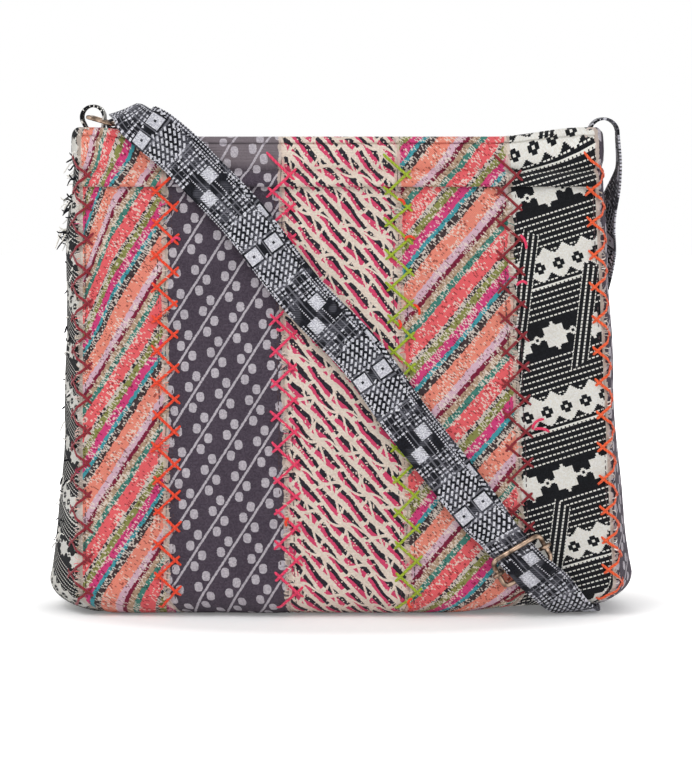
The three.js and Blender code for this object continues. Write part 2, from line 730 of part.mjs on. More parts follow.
const spineStops = [
  { point: vec(ringFar.x, -2.1, ringFar.z - foldRadius), normal: tilted(0), width: 15 },
  { point: vec(ringFar.x + 5, -2.2, ringFar.z - foldRadius + 1.6), normal: tilted(0), width: 15 },
  { point: vec(ringFar.x + 11, rimFront + 7, rimZ + 6.6), normal: tilted(40), width: 20 },
  { point: vec(ringFar.x + 16.5, rimFront - 0.5, rimZ + 4.2), normal: tilted(66), width: 23.5 },
  { point: vec(ringFar.x + 26, rimFront - 4.2, bagHeight + 4), normal: tilted(81), width: strapWidth },
  onFront(-0.612, 0.972),
  onFront(-0.533, 0.93),
  onFront(-0.372, 0.838),
  onFront(-0.147, 0.676),
  onFront(0.072, 0.548),
  onFront(0.22, 0.428),
  onFront(0.378, 0.312),
  onFront(0.523, 0.205),
  onFront(0.645, 0.116),
  onFront(0.75, 0.055, strapStandOff - 0.8),
  onFront(0.815, 0.01, strapStandOff - 1.2),
  { point: vec(underX - 2, -baseHalfReach - 4, floorLevel + 0.35), normal: vec(0, -0.3, -1).normalize(), width: strapWidth },
  { point: vec(underX, -baseHalfReach * 0.6, floorLevel), normal: vec(0, 0, -1), width: strapWidth },
  { point: vec(underX, baseHalfReach * 0.6, floorLevel), normal: vec(0, 0, -1), width: strapWidth },
  { point: vec(underX, baseHalfReach + 4, floorLevel + 0.35), normal: vec(0, 0.3, -1).normalize(), width: strapWidth },
  onBack(0.87, 0.01, strapStandOff - 0.6),
  onBack(0.87, 0.06, strapStandOff - 0.3),
  onBack(0.88, 0.2),
  onBack(0.9, 0.4),
  onBack(0.92, 0.58, strapStandOff + 0.8),
  { point: backCorner(0.76, 4), normal: vec(0.72, 0.69, 0), width: 24 },
  { point: vec(rightEndX + 9.5, topHalfDepth * 0.7, bagHeight * 0.85), normal: vec(0.93, 0.36, 0), width: 22 },
  { point: vec(rightEndX + 14.5, 2, bagHeight * 0.93), normal: vec(1, 0.05, 0), width: 20 },
  { point: vec(loopCentreX + sewnLoopRadius, 0, loopCentreZ), normal: vec(1, 0, 0), width: strapEndWidth },
];
const spine = new THREE.CatmullRomCurve3(spineStops.map((stop) => stop.point), false, 'centripetal');
spine.arcLengthDivisions = 1200;
const spineLength = spine.getLength();
const barStop = 13;
const barShare = barStop / (spineStops.length - 1);

function lengthAt(share) {
  const lengths = spine.getLengths();
  return lengths[Math.round(share * (lengths.length - 1))];
}
const barAt = lengthAt(barShare);

function spineFrame(distance) {
  const t = spine.getUtoTmapping(clamp(distance / spineLength, 0, 1));
  const place = t * (spineStops.length - 1);
  const index = Math.min(Math.floor(place), spineStops.length - 2);
  const from = spineStops[index];
  const to = spineStops[index + 1];
  const along = spine.getTangent(t).normalize();
  const normal = from.normal.clone().lerp(to.normal, place - index);
  normal.addScaledVector(along, -normal.dot(along)).normalize();
  const across = new THREE.Vector3().crossVectors(normal, along).normalize();
  const width = lerp(from.width, to.width, place - index);
  return { point: spine.getPoint(t), along, normal, across, width };
}

// Levels of the two layers above the spine, keyed by distance from the adjuster's centre bar
const barFold = barWire / 2 + gap + strapThick / 2;
const overFold = barFold * 2 + strapThick + gap;
const upperBarReach = -adjusterReach / 2;
const upperBarUnder = layerStep * 2 + 0.4;
const lowerBarLevel = 0.8;
const overLowerBar = lowerBarLevel + adjusterWire / 2 + gap * 2 + strapThick / 2;

function keyed(keys, value) {
  if (value <= keys[0][0]) return keys[0][1];
  for (let i = 1; i < keys.length; i += 1) {
    const [to, level] = keys[i];
    const [from, before] = keys[i - 1];
    if (value <= to) return lerp(before, level, ease(from, to, value));
  }
  return keys.at(-1)[1];
}

const topLevelKeys = [
  [-barAt, foldRadius * 2],
  [-barAt + 16, layerStep],
  [-sewnEndLength - 9, layerStep],
  [-sewnEndLength - 1, layerStep * 2],
  [upperBarReach, upperBarUnder],
  [-1.5, overFold],
  [2.5, overFold],
  [adjusterReach / 2, overLowerBar],
  [adjusterReach / 2 + 18, 0],
];
const sewnLevelKeys = [[-sewnEndLength, layerStep], [upperBarReach, layerStep], [0, barFold * 2]];
const skewAt = (offset) => degToRad(adjusterSkew) * (ease(-34, -16, offset) - ease(14, 30, offset));
const shiftAt = (distance) => layerShift * (ease(4, 22, distance) - ease(barAt - 40, barAt - 18, distance));
const pinchAt = (offset) => 1 - 0.06 * (ease(-14, -6, offset) - ease(6, 14, offset));

function layerSection(distance, level, shift, flip) {
  const frame = spineFrame(distance);
  const skew = skewAt(distance - barAt);
  const across = frame.across.clone().multiplyScalar(Math.cos(skew));
  across.addScaledVector(frame.along, Math.sin(skew)).normalize();
  const centre = frame.point.clone().addScaledVector(frame.normal, level);
  centre.addScaledVector(frame.across, shift);
  const width = frame.width * pinchAt(distance - barAt);
  const section = ribbonSection(centre, across, width, strapThick, frame.normal.clone().multiplyScalar(flip));
  const lowest = Math.min(...section.map((point) => point.z));
  if (lowest < 0) section.forEach((point) => point.setZ(point.z - lowest));
  return section;
}

function foldSections(centre, normal, along, across, radius, width, turns) {
  return turns.map((turn) => {
    const outward = normal.clone().multiplyScalar(Math.cos(degToRad(turn)));
    outward.addScaledVector(along, Math.sin(degToRad(turn)));
    const point = centre.clone().addScaledVector(outward, radius);
    return ribbonSection(point, across, width, strapThick, outward);
  });
}

function distances(from, to, step) {
  const count = Math.max(1, Math.round(Math.abs(to - from) / step));
  return Array.from({ length: count + 1 }, (_, i) => lerp(from, to, i / count));
}

const barFrame = spineFrame(barAt);
const skew = degToRad(adjusterSkew);
const barAcross = barFrame.across.clone().multiplyScalar(Math.cos(skew))
  .addScaledVector(barFrame.along, Math.sin(skew));
const barAlong = barFrame.along.clone().multiplyScalar(Math.cos(skew))
  .addScaledVector(barFrame.across, -Math.sin(skew));
const barCentre = barFrame.point.clone().addScaledVector(barFrame.normal, barFold);

function strapGeometry() {
  const sections = [];
  const nearBar = 34;
  distances(barAt - sewnEndLength, barAt - 1, 3).forEach((distance) => {
    sections.push(layerSection(distance, keyed(sewnLevelKeys, distance - barAt), 0, 1));
  });
  const barWidth = barFrame.width * pinchAt(0);
  sections.push(...foldSections(barCentre, barFrame.normal, barAlong, barAcross, barFold, barWidth, [20, 55, 90, 125, 160]));
  const underRun = [...distances(barAt - 1, barAt - nearBar, 4), ...distances(barAt - nearBar - 8, 24, 9), ...distances(20, 2, 3.5)];
  underRun.forEach((distance) => {
    sections.push(layerSection(distance, 0, shiftAt(distance) / 2, -1));
  });
  const ringFrame = spineFrame(0);
  const ringCentre = ringFrame.point.clone().addScaledVector(ringFrame.normal, foldRadius);
  const back = ringFrame.along.clone().negate();
  sections.push(...foldSections(ringCentre, ringFrame.normal, back, ringFrame.across, foldRadius, ringFrame.width, [165, 130, 90, 50, 15]));
  const topRun = [
    ...distances(2, 20, 3.5),
    ...distances(24, barAt - nearBar - 8, 9),
    ...distances(barAt - nearBar, barAt + nearBar, 2.6),
    ...distances(barAt + nearBar + 5, spineLength, 7),
  ];
  topRun.forEach((distance) => {
    sections.push(layerSection(distance, keyed(topLevelKeys, distance - barAt), -shiftAt(distance) / 2, 1));
  });
  const loopCentre = vec(loopCentreX, 0, loopCentreZ);
  sections.push(...foldSections(loopCentre, vec(1, 0, 0), vec(0, 0, 1), vec(0, -1, 0), sewnLoopRadius, strapEndWidth, [22, 45, 68, 90, 112, 135, 158, 180]));
  const endZ = bagHeight - hemTurnIn * 0.5;
  sections.push(ribbonSection(vec(sewnInnerX, 0, endZ), vec(0, -1, 0), strapEndWidth, strapThick, vec(-1, 0, 0)));
  return sweep(sections);
}
addPiece('strap', strapGeometry(), cloths.strap);

// Adjuster: a bent wire frame round the strap, and the loose centre bar with an eye at each end
const frameLevelKeys = [
  [upperBarReach, upperBarUnder + strapThick / 2 + gap + adjusterWire / 2 - barFold],
  [upperBarReach * 0.3, 0.2],
  [0, 0],
  [adjusterReach / 2, lowerBarLevel - barFold],
];
const adjusterPlace = (u, w, n) => barCentre.clone()
  .addScaledVector(barAlong, u)
  .addScaledVector(barAcross, w)
  .addScaledVector(barFrame.normal, n + keyed(frameLevelKeys, u));
const frameSideStops = [upperBarReach * 0.3, 0, adjusterReach * 0.2];
const adjusterLoop = wireLoop(adjusterWidth, adjusterReach, 3.4, adjusterWire, adjusterPlace, frameSideStops);
addPiece('adjuster_frame', adjusterLoop, brass);

function centreBarGeometry() {
  const eyeRadius = adjusterWire / 2 + gap + eyeTube;
  const basis = new THREE.Matrix4().makeBasis(barAcross, barFrame.normal, barAlong);
  basis.setPosition(barCentre);
  const barLength = adjusterWidth - eyeRadius * 2;
  const bar = new THREE.CylinderGeometry(barWire / 2, barWire / 2, barLength, 10).rotateZ(quarterTurn);
  const eye = (end) => new THREE.TorusGeometry(eyeRadius, eyeTube, 8, 16).translate((end * adjusterWidth) / 2, 0, 0);
  return joined([bar, eye(-1), eye(1)]).applyMatrix4(basis);
}
addPiece('adjuster_bar', centreBarGeometry(), brass);

export default group;
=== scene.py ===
# %% [markdown]
# # A patchwork crossbody bag
# The bag is sewn from upright strips of woven cloth. Heavy crossed stitches cover the seams, the
# mouth has a rolled hem, and one long woven strap runs through a brass adjuster. The solids of the
# part are the fixed frame here, and every soft piece is made again on top of them.

# %% The frame
import math
import random

import bpy
import numpy as np
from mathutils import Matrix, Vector


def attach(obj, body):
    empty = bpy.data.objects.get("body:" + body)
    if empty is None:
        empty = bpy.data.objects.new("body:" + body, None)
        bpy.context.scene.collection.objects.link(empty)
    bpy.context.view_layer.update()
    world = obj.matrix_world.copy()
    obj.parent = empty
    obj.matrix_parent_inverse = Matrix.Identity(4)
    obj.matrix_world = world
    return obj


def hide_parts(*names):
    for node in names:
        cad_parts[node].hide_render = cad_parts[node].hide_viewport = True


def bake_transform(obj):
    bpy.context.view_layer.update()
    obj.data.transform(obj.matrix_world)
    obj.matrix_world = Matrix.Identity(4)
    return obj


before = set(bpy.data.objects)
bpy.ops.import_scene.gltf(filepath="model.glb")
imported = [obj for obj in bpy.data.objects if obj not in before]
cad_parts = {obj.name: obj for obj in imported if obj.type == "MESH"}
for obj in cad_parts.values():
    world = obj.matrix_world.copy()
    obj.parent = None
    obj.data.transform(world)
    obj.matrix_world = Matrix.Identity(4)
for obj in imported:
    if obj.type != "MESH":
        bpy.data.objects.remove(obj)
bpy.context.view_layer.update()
bpy.ops.object.select_all(action="DESELECT")
scene = bpy.context.scene
print("nodes in the frame:", len(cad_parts))

# %% [markdown]
# ## The camera
# The photo was taken from straight in front and slightly above, with a long lens. A camera
# 1.8 m away with a narrow view gives the same nearly parallel lines.

# %% Camera
CAMERA_REACH = 1.8
CAMERA_LIFT = math.radians(5.5)
FRAME_WIDTH = 0.4119
SENSOR = 36.0
look_at = Vector((0.0024, -0.035, 0.1384))
camera_place = look_at + CAMERA_REACH * Vector((0, -math.cos(CAMERA_LIFT), math.sin(CAMERA_LIFT)))
bpy.ops.object.camera_add(location=camera_place)
camera = bpy.context.object
camera.rotation_euler = (look_at - camera_place).to_track_quat("-Z", "Y").to_euler()
camera.data.sensor_fit = "HORIZONTAL"
camera.data.sensor_width = SENSOR
camera.data.lens = SENSOR * CAMERA_REACH / FRAME_WIDTH
scene.camera = camera

# %% [markdown]
# ## The shape of the bag
# The cloth lies on a soft box: deeper and wider at the base, with faces that belly out a little.
# These few functions give a point of that box in millimetres, from a side, a place across and a
# height. They repeat the named sizes of the part, so the cloth fits the solids with no trial. Only
# the lower corners are a little squarer, and the rim stands a little higher in front.

# %% Sizes of the bag, in millimetres
MM = 0.001
BAG_HEIGHT = 284.0
STRIP_WIDTHS = [51.0, 69.6, 69.0, 66.0, 54.0]
SEAM_TO_SEAM = sum(STRIP_WIDTHS)
WIDTH_FLARE = 12.4
SWAY_TOP, SWAY_BOTTOM = -2.4, 3.9
TOP_HALF_DEPTH, BASE_HALF_DEPTH = 16.0, 45.0
CROWN_TOP, CROWN_BOTTOM = 3.0, 6.5
BULGE_TOP, BULGE_LEFT, BULGE_RIGHT, BULGE_SIDE = 4.5, 21.0, 15.0, 4.5
RIM_RISE, RIM_REACH = 5.5, 62.0
FRONT_RISE, BACK_DROP = 1.6, 2.6
ROLL = 18.0
CORNER_LIFT, CORNER_REACH, CORNER_POWER = 4.5, 84.0, 0.45
HEM_RADIUS, HEM_PROUD = 3.2, 0.8
HEM_MIDDLE = HEM_RADIUS - HEM_PROUD
ZIP_Z = BAG_HEIGHT - 13.0
TOP_HALF_WIDTH = SEAM_TO_SEAM / 2
QUARTER = math.pi / 2
SEAM_SHARES = [-1.0]
for strip_width in STRIP_WIDTHS:
    SEAM_SHARES.append(SEAM_SHARES[-1] + 2 * strip_width / SEAM_TO_SEAM)


# %% Points on the bag
def mix(a, b, share):
    return a + (b - a) * share


def vec(*values):
    return np.array(values, float)


def ease(start, end, value):
    share = np.clip((np.asarray(value, float) - start) / (end - start), 0, 1)
    return share * share * (3 - 2 * share)


def up_share(z):
    return np.clip(z / BAG_HEIGHT, 0, 1)


def half_width(z):
    return (SEAM_TO_SEAM + WIDTH_FLARE * (1 - up_share(z))) / 2


def half_depth(z):
    return mix(BASE_HALF_DEPTH, TOP_HALF_DEPTH, up_share(z))


def middle_x(z):
    return mix(SWAY_BOTTOM, SWAY_TOP, up_share(z))


BASE_HALF_WIDTH = half_width(ROLL) - ROLL
BASE_HALF_REACH = half_depth(ROLL) - ROLL


def settled(x, y, z):
    rise = RIM_RISE * ease(TOP_HALF_WIDTH - RIM_REACH, TOP_HALF_WIDTH - 8, np.abs(x - SWAY_TOP))
    start = BASE_HALF_WIDTH - CORNER_REACH
    lift = CORNER_LIFT * ease(start, start + CORNER_REACH * 0.7, x)
    rise = rise + FRONT_RISE * ease(4, 12, -y) - BACK_DROP * ease(4, 13, y)
    higher = z + rise * ease(ZIP_Z, BAG_HEIGHT, z) + lift * (1 - ease(0, BAG_HEIGHT * 0.25, z))
    return np.stack(np.broadcast_arrays(x, y, higher), -1)


def face_point(side, x, z, roll=0.0, out=0.0):
    reach = (ROLL + out) * np.cos(roll) - ROLL
    wide = half_width(z) + ROLL * np.cos(roll) - ROLL
    across = np.clip((x - middle_x(z)) / wide, -1, 1)
    crown = mix(CROWN_BOTTOM, CROWN_TOP, up_share(z) ** 2) * (1 - across**2) * np.cos(roll)
    return settled(x, side * (half_depth(z) + reach + crown), z - (ROLL + out) * np.sin(roll))


def gusset_point(side, y, z, roll=0.0, out=0.0):
    reach = (ROLL + out) * np.cos(roll) - ROLL
    deep = half_depth(z) + ROLL * np.cos(roll) - ROLL
    across = np.clip(y / deep, -1, 1)
    low = BULGE_LEFT if side < 0 else BULGE_RIGHT
    bulge = mix(BULGE_TOP, low, (1 - up_share(z)) ** 4)
    if side < 0:
        bulge = bulge + BULGE_SIDE * (1 - ease(226, 264, z))
    bulge = bulge * (1 - across**2) * np.clip(np.cos(roll), 0, 1) ** CORNER_POWER
    x = middle_x(z) + side * (half_width(z) + reach + bulge)
    return settled(x, y, z - (ROLL + out) * np.sin(roll))


def seam_x(seam, z, roll=0.0):
    return middle_x(z) + SEAM_SHARES[seam] * (half_width(z) + ROLL * np.cos(roll) - ROLL)


# %% [markdown]
# ## Making cloth lie on the bag
# A piece of cloth starts as a flat grid with one row for each height of a profile. The profile
# follows the cloth from under the base, up the wall, over the tuck and round the rolled hem, and
# says how far it stands out. Each vertex then moves onto the bag, and Solidify gives the sheet its
# thickness. The flat millimetres stay with the cloth as its UV map, so a weave follows it.

# %% Profiles: height, roll angle, how far out, and the flat length so far
def profile(wall_step, upper):
    rows = [(ROLL, QUARTER * (1 - i / 12), 0.0) for i in range(12)]
    steps = round((upper[0][0] - ROLL) / wall_step)
    rows += [(mix(ROLL, upper[0][0], i / steps), 0.0, 0.0) for i in range(steps)]
    rows += [(z, 0.0, out) for z, out in upper]
    rows = np.array(rows)
    turn = np.abs(np.diff(rows[:, 1])) * ROLL
    flat = np.hypot(np.diff(rows[:, 0]), np.diff(rows[:, 2])) + turn
    return np.column_stack([rows, np.concatenate([[0], np.cumsum(flat)])])


def hem_turn():
    turns = np.radians(np.arange(0, 181, 20))
    low = BAG_HEIGHT - HEM_RADIUS
    over = [(low + HEM_RADIUS * math.sin(t), HEM_RADIUS * math.cos(t) - HEM_MIDDLE) for t in turns]
    return over + [(low - 3.0 * i, -HEM_RADIUS - HEM_MIDDLE) for i in range(1, 4)]


TUCK = [(253.0, 0.0), (255.5, 0.05), (257.2, 0.3), (256.5, 1.1), (255.8, 1.9), (256.2, 2.6),
        (257.4, 3.3), (259.5, 3.1), (261.5, 2.5), (263.2, 1.5), (264.3, 0.2), (265.0, -0.5),
        (265.8, -0.1), (267.4, 0.9), (271.0, 1.4), (275.0, 1.4), (278.2, 1.2), (279.6, 0.6),
        (280.2, -0.5)]
PLAIN_HEM = [(264.0, 0.0), (266.0, -0.35), (267.0, -0.5), (268.2, -0.2), (271.0, 0.7),
             (275.0, 1.1), (278.5, 1.05)]
TUCKED_CLOTH = 9.0
front_profile = profile(2.3, TUCK + hem_turn())
plain_profile = profile(3.2, PLAIN_HEM + hem_turn())
lip = int(np.argmax(front_profile[:, 2] > 1.5))
front_profile[lip:, 3] += TUCKED_CLOTH
print("rows of cloth:", len(front_profile), len(plain_profile))
print("flat length in mm, front and back:", round(front_profile[-1, 3]), round(plain_profile[-1, 3]))


# %% A sheet laid by a function
CLOTH_THICK = 1.1
SMOOTH_ANGLE = math.radians(50)


def select_only(piece):
    bpy.ops.object.select_all(action="DESELECT")
    piece.select_set(True)
    bpy.context.view_layer.objects.active = piece


def laid_sheet(name, columns, rows, place):
    bpy.ops.object.select_all(action="DESELECT")
    bpy.ops.mesh.primitive_grid_add(x_subdivisions=columns, y_subdivisions=len(rows) - 1, size=1)
    piece = bpy.context.object
    piece.name = piece.data.name = name
    mesh = piece.data
    flat = np.empty(len(mesh.vertices) * 3)
    mesh.vertices.foreach_get("co", flat)
    flat = flat.reshape(-1, 3)
    row = rows[np.rint((flat[:, 1] + 0.5) * (len(rows) - 1)).astype(int)]
    points, width, edge = place(flat[:, 0] + 0.5, row)
    mesh.vertices.foreach_set("co", (points * MM).ravel())
    loops = np.empty(len(mesh.loops), int)
    mesh.loops.foreach_get("vertex_index", loops)
    uv = np.stack([flat[:, 0] * width, row[:, 3]], 1)[loops]
    mesh.uv_layers.active.data.foreach_set("uv", uv.ravel())
    mesh.attributes.new("edge_mm", "FLOAT", "POINT").data.foreach_set("value", edge)
    mesh.update()
    solidify = piece.modifiers.new("cloth", "SOLIDIFY")
    solidify.thickness = CLOTH_THICK * MM
    solidify.offset = -1
    select_only(piece)
    bpy.ops.object.modifier_apply(modifier=solidify.name)
    bpy.ops.object.shade_smooth_by_angle(angle=SMOOTH_ANGLE)
    return piece


def soft_folds(x, z, seed):
    phase = seed * 1.7
    waves = 0.5 * np.sin(x / 17 + z / 41 + phase) + 0.35 * np.sin(x / 9.5 - z / 26 + phase * 2)
    waves += 0.3 * np.sin(z / 13 + x / 31 + phase * 3) + 0.22 * np.sin(x / 5.2 + z / 11 - phase)
    return waves


# %% [markdown]
# ## The strips
# Each strip has a raw edge at both sides. A straight stitch line runs beside it and presses the
# cloth down, and the heavy crosses over the seam pucker it at every second centimetre.

# %% Strips of the front and the back
STITCH_STEP = 9.5
STITCH_HALF = 5.2
FINE_ROW_AT = 4.0
CORNER_ROUNDING, ROUNDED_WIDTH = 2.2, 5.0


def strip(name, side, index, rows, columns, seed):
    last = len(STRIP_WIDTHS) - 1

    def place(share, row):
        z, roll, out = row[:, 0], row[:, 1], row[:, 2]
        left, right = seam_x(index, z, roll), seam_x(index + 1, z, roll)
        width = right - left
        inside = np.minimum(share, 1 - share) * width
        x = mix(left, right, share)
        edge = np.exp(-((inside / 1.6) ** 2))
        groove = np.exp(-(((inside - FINE_ROW_AT) / 0.9) ** 2))
        ridge = np.exp(-(((inside - 1.9) / 1.0) ** 2))
        pucker = np.sin(row[:, 3] * math.pi / STITCH_STEP + seed) * np.exp(-(((inside - 6) / 4) ** 2))
        calm = ease(0, 0.5, 1 - roll / QUARTER) * (1 - 0.6 * ease(262, 270, z))
        relief = 0.75 * soft_folds(x, z, seed) * calm * ease(0, 9, inside)
        relief += 0.3 * ridge - 0.45 * groove - 0.9 * edge + 0.35 * pucker * calm
        at_corner = (share < 0.5) & (index == 0) | (share > 0.5) & (index == last)
        rounding = np.where(at_corner, CORNER_ROUNDING * np.clip(1 - inside / ROUNDED_WIDTH, 0, 1) ** 2, 0)
        wander = 0.4 * np.sin(row[:, 3] / 7 + seed) * np.exp(-((inside / 6) ** 2))
        x = x + np.where(at_corner, 0, wander)
        return face_point(side, x, z, roll, out + relief - rounding), STRIP_WIDTHS[index], inside

    return laid_sheet(name, columns, rows, place)


FRONT = [("front_strip_stripe_left", 34), ("front_strip_dotted", 46), ("front_strip_scale", 46),
         ("front_strip_stripe_right", 44), ("front_strip_star", 36)]
BACK = [("back_strip_scale_left", 26), ("back_strip_stripe_left", 34), ("back_strip_dotted", 34),
        ("back_strip_scale_right", 33), ("back_strip_stripe_right", 27)]
cloth_pieces = {}
for index, (node, columns) in enumerate(FRONT):
    cloth_pieces[node] = strip(node + "_cloth", -1, index, front_profile, columns, index + 1)
for index, (node, columns) in enumerate(BACK):
    cloth_pieces[node] = strip(node + "_cloth", 1, index, plain_profile, columns, index + 7)


# %% Side gussets and the base
def gusset(name, side, seed):
    def place(share, row):
        z, roll, out = row[:, 0], row[:, 1], row[:, 2]
        edge = half_depth(z) + ROLL * np.cos(roll) - ROLL
        inside = np.minimum(share, 1 - share) * 2 * edge
        y = mix(-edge, edge, share) * side
        relief = 0.9 * soft_folds(y, z, seed) * ease(0, 8, inside) * ease(0, 0.5, 1 - roll / QUARTER)
        rounding = CORNER_ROUNDING * np.clip(1 - inside / ROUNDED_WIDTH, 0, 1) ** 2
        return gusset_point(side, y, z, roll, out + relief - rounding), 2 * edge, inside

    return laid_sheet(name, 30, plain_profile, place)


cloth_pieces["gusset_left"] = gusset("gusset_left_cloth", -1, 13)
cloth_pieces["gusset_right"] = gusset("gusset_right_cloth", 1, 14)


def base_cloth(name):
    rows = np.array([(0, 0, 0, 2.0 * i) for i in range(28)])

    def place(share, row):
        x = middle_x(ROLL) + mix(-1, 1, share) * (BASE_HALF_WIDTH + 0.2)
        y = mix(1, -1, row[:, 3] / rows[-1, 3]) * (BASE_HALF_REACH + 0.2)
        return settled(x, y, np.zeros_like(x)), 2 * BASE_HALF_WIDTH, np.full_like(x, 9.0)

    return laid_sheet(name, 90, rows, place)


cloth_pieces["base_panel"] = base_cloth("base_panel_cloth")
for node, piece in cloth_pieces.items():
    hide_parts(node)
    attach(piece, "bag")
print("cloth pieces:", len(cloth_pieces))


# %% [markdown]
# ## Lofts for threads, webbing and wire
# A strap turns, narrows and folds back on itself, and a thread dives into the cloth at both ends.
# A run of cross sections that are joined one to the next gives all of that, so one function builds
# every such piece, closes its ends and keeps the distance along it as its UV map.

# %% A closed mesh through runs of sections
def oval(width, thick, sides=16, power=2.0):
    angles = (np.arange(sides) + 0.5) * 2 * math.pi / sides
    c, s = np.cos(angles), np.sin(angles)
    across = np.sign(c) * np.abs(c) ** (2 / power) * width / 2
    up = np.sign(s) * np.abs(s) ** (2 / power) * thick / 2
    return np.stack([across, up], 1)


FAR_FROM_EDGE = 9.0


def lofted(name, strands, closed=False, edge=FAR_FROM_EDGE):
    vertices, faces, uvs = [], [], []
    for sections, around, along in strands:
        base, count, sides = len(vertices), len(sections), len(sections[0])
        vertices.extend(np.asarray(sections).reshape(-1, 3) * MM)
        for i in range(count if closed else count - 1):
            j = (i + 1) % count
            for k in range(sides):
                n = (k + 1) % sides
                faces.append([base + i * sides + k, base + i * sides + n,
                              base + j * sides + n, base + j * sides + k])
                uvs += [(around[k], along[i]), (around[k + 1], along[i]),
                        (around[k + 1], along[i + 1]), (around[k], along[i + 1])]
        if not closed:
            for i in (0, count - 1):
                faces.append([base + i * sides + k for k in range(sides)])
                uvs += [(around[k], along[i]) for k in range(sides)]
    mesh = bpy.data.meshes.new(name)
    mesh.from_pydata([tuple(v) for v in vertices], [], faces)
    mesh.uv_layers.new(name="UVMap").data.foreach_set("uv", np.ravel(uvs))
    distances = mesh.attributes.new("edge_mm", "FLOAT", "POINT")
    distances.data.foreach_set("value", np.full(len(vertices), edge))
    piece = bpy.data.objects.new(name, mesh)
    scene.collection.objects.link(piece)
    select_only(piece)
    bpy.ops.object.mode_set(mode="EDIT")
    bpy.ops.mesh.select_all(action="SELECT")
    bpy.ops.mesh.normals_make_consistent(inside=False)
    bpy.ops.object.mode_set(mode="OBJECT")
    bpy.ops.object.shade_smooth_by_angle(angle=SMOOTH_ANGLE)
    return piece


def lofted_on_bag(name, strands, edge=FAR_FROM_EDGE):
    piece = lofted(name, strands, edge=edge)
    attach(piece, "bag")
    return piece


def section(centre, across, up, outline):
    return centre + np.outer(outline[:, 0], across) + np.outer(outline[:, 1], up)


def unit(vector):
    return vector / np.linalg.norm(vector)


def path_lengths(points):
    return np.concatenate([[0], np.cumsum(np.linalg.norm(np.diff(points, axis=0), axis=1))])


def strand(points, ups, outline, start=0.0, tips=1.0):
    points, ups = np.asarray(points, float), np.asarray(ups, float)
    along = np.gradient(points, axis=0)
    run = start + path_lengths(points)
    sections = []
    for i, (point, up, heading) in enumerate(zip(points, ups, along)):
        across = unit(np.cross(heading, up))
        normal = unit(np.cross(across, heading))
        size = tips if i in (0, len(points) - 1) else 1.0
        sections.append(section(point, across, normal, outline * size))
    return sections, path_lengths(np.vstack([outline, outline[:1]])), run


# %% [markdown]
# ## Crossed stitches
# Herringbone stitch: a thick thread runs up to one side, dips under the cloth, comes out a little
# lower and runs up to the other side, so the threads cross near each end. Each visible thread is
# one flattened strand, laid over whatever height the cloth has below it.

# %% Rows of crossed stitches
THREAD = oval(1.75, 1.1, 8)
ROLL_END = QUARTER * 0.45
ROLL_ARC = ROLL_END * ROLL
STITCH_TOP_MARGIN, CORNER_REACHED = 5, 2.5
STITCH_RUN = ROLL_ARC + BAG_HEIGHT - STITCH_TOP_MARGIN - ROLL
STITCHES = int(STITCH_RUN // STITCH_STEP)
FRONT_COVER = [(0, 0.0), (252, 0.1), (256, 2.9), (260, 2.7), (264, 1.7), (268, 1.3), (276, 1.5),
               (281, 1.4), (284, 0.2)]
PLAIN_COVER = [(0, 0.0), (262, 0.0), (266, -0.1), (271, 0.8), (276, 1.1), (281, 0.8), (284, -0.4)]


def cover(side, z):
    stops = FRONT_COVER if side < 0 else PLAIN_COVER
    return np.interp(z, [stop[0] for stop in stops], [stop[1] for stop in stops])


def seam_place(side, seam, u, distance, off):
    roll = max(ROLL_ARC - distance, 0) / ROLL
    z = ROLL + max(distance - ROLL_ARC, 0)
    height = off + cover(side, z)
    end = -1 if seam == 0 else 1 if seam == len(STRIP_WIDTHS) else 0
    x = seam_x(seam, z, roll)
    beyond = u * end
    if end == 0 or beyond < -CORNER_REACHED:
        return face_point(side, x + u, z, roll, height)
    deep = half_depth(z) + ROLL * math.cos(roll) - ROLL
    plain = off + cover(1, z)
    if beyond > CORNER_REACHED:
        return gusset_point(end, side * (deep - beyond), z, roll, plain)
    share = (beyond + CORNER_REACHED) / (2 * CORNER_REACHED)
    a = face_point(side, x - end * CORNER_REACHED, z, roll, height)
    b = gusset_point(end, side * (deep - CORNER_REACHED), z, roll, plain)
    corner = 2.0 * math.sin(share * math.pi) * np.array([end * 0.6, side * 0.6, 0])
    return mix(a, b, share) + corner


def stitch_row(name, side, seam, rng):
    strands = []
    for i in range(STITCHES):
        low = i * STITCH_STEP + 1.0 + rng.uniform(-0.5, 0.5)
        high = (i + 1) * STITCH_STEP + 1.0 + rng.uniform(-0.5, 0.5)
        cast = -1 if i % 2 == 0 else 1
        spare = rng.uniform(0.24, 0.36)
        points, ups = [], []
        for t in np.linspace(-spare, 1 + spare, 11):
            u = cast * mix(1, -1, t) * STITCH_HALF + rng.uniform(-0.12, 0.12)
            d = mix(low, high, t)
            into = min(t + spare, 1 + spare - t) / 0.14
            over = 0.7 * math.exp(-((t / 0.15) ** 2))
            off = 0.5 + over - 1.0 * max(0, 1 - into) ** 1.5
            d = min(max(d, 0.3), STITCH_RUN + 1.5)
            here = seam_place(side, seam, u, d, off)
            points.append(here)
            ups.append(seam_place(side, seam, u, d, off + 1) - here)
        strands.append(strand(points, ups, THREAD, i * 20.0, 0.75))
    return lofted_on_bag(name, strands)


rng = random.Random(7)
stitch_rows = {}
for face, side in (("front", -1), ("back", 1)):
    for seam in range(len(STRIP_WIDTHS) + 1):
        node = f"stitch_row_{face}_{seam + 1}"
        piece = stitch_row(node + "_thread", side, seam, rng)
        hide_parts(node)
        stitch_rows[node] = piece
print("stitch rows:", len(stitch_rows), "threads in each:", STITCHES)


# %% [markdown]
# ## The straight stitches beside each seam
# Before the crosses, each raw edge was held down by one row of fine dark machine stitches.

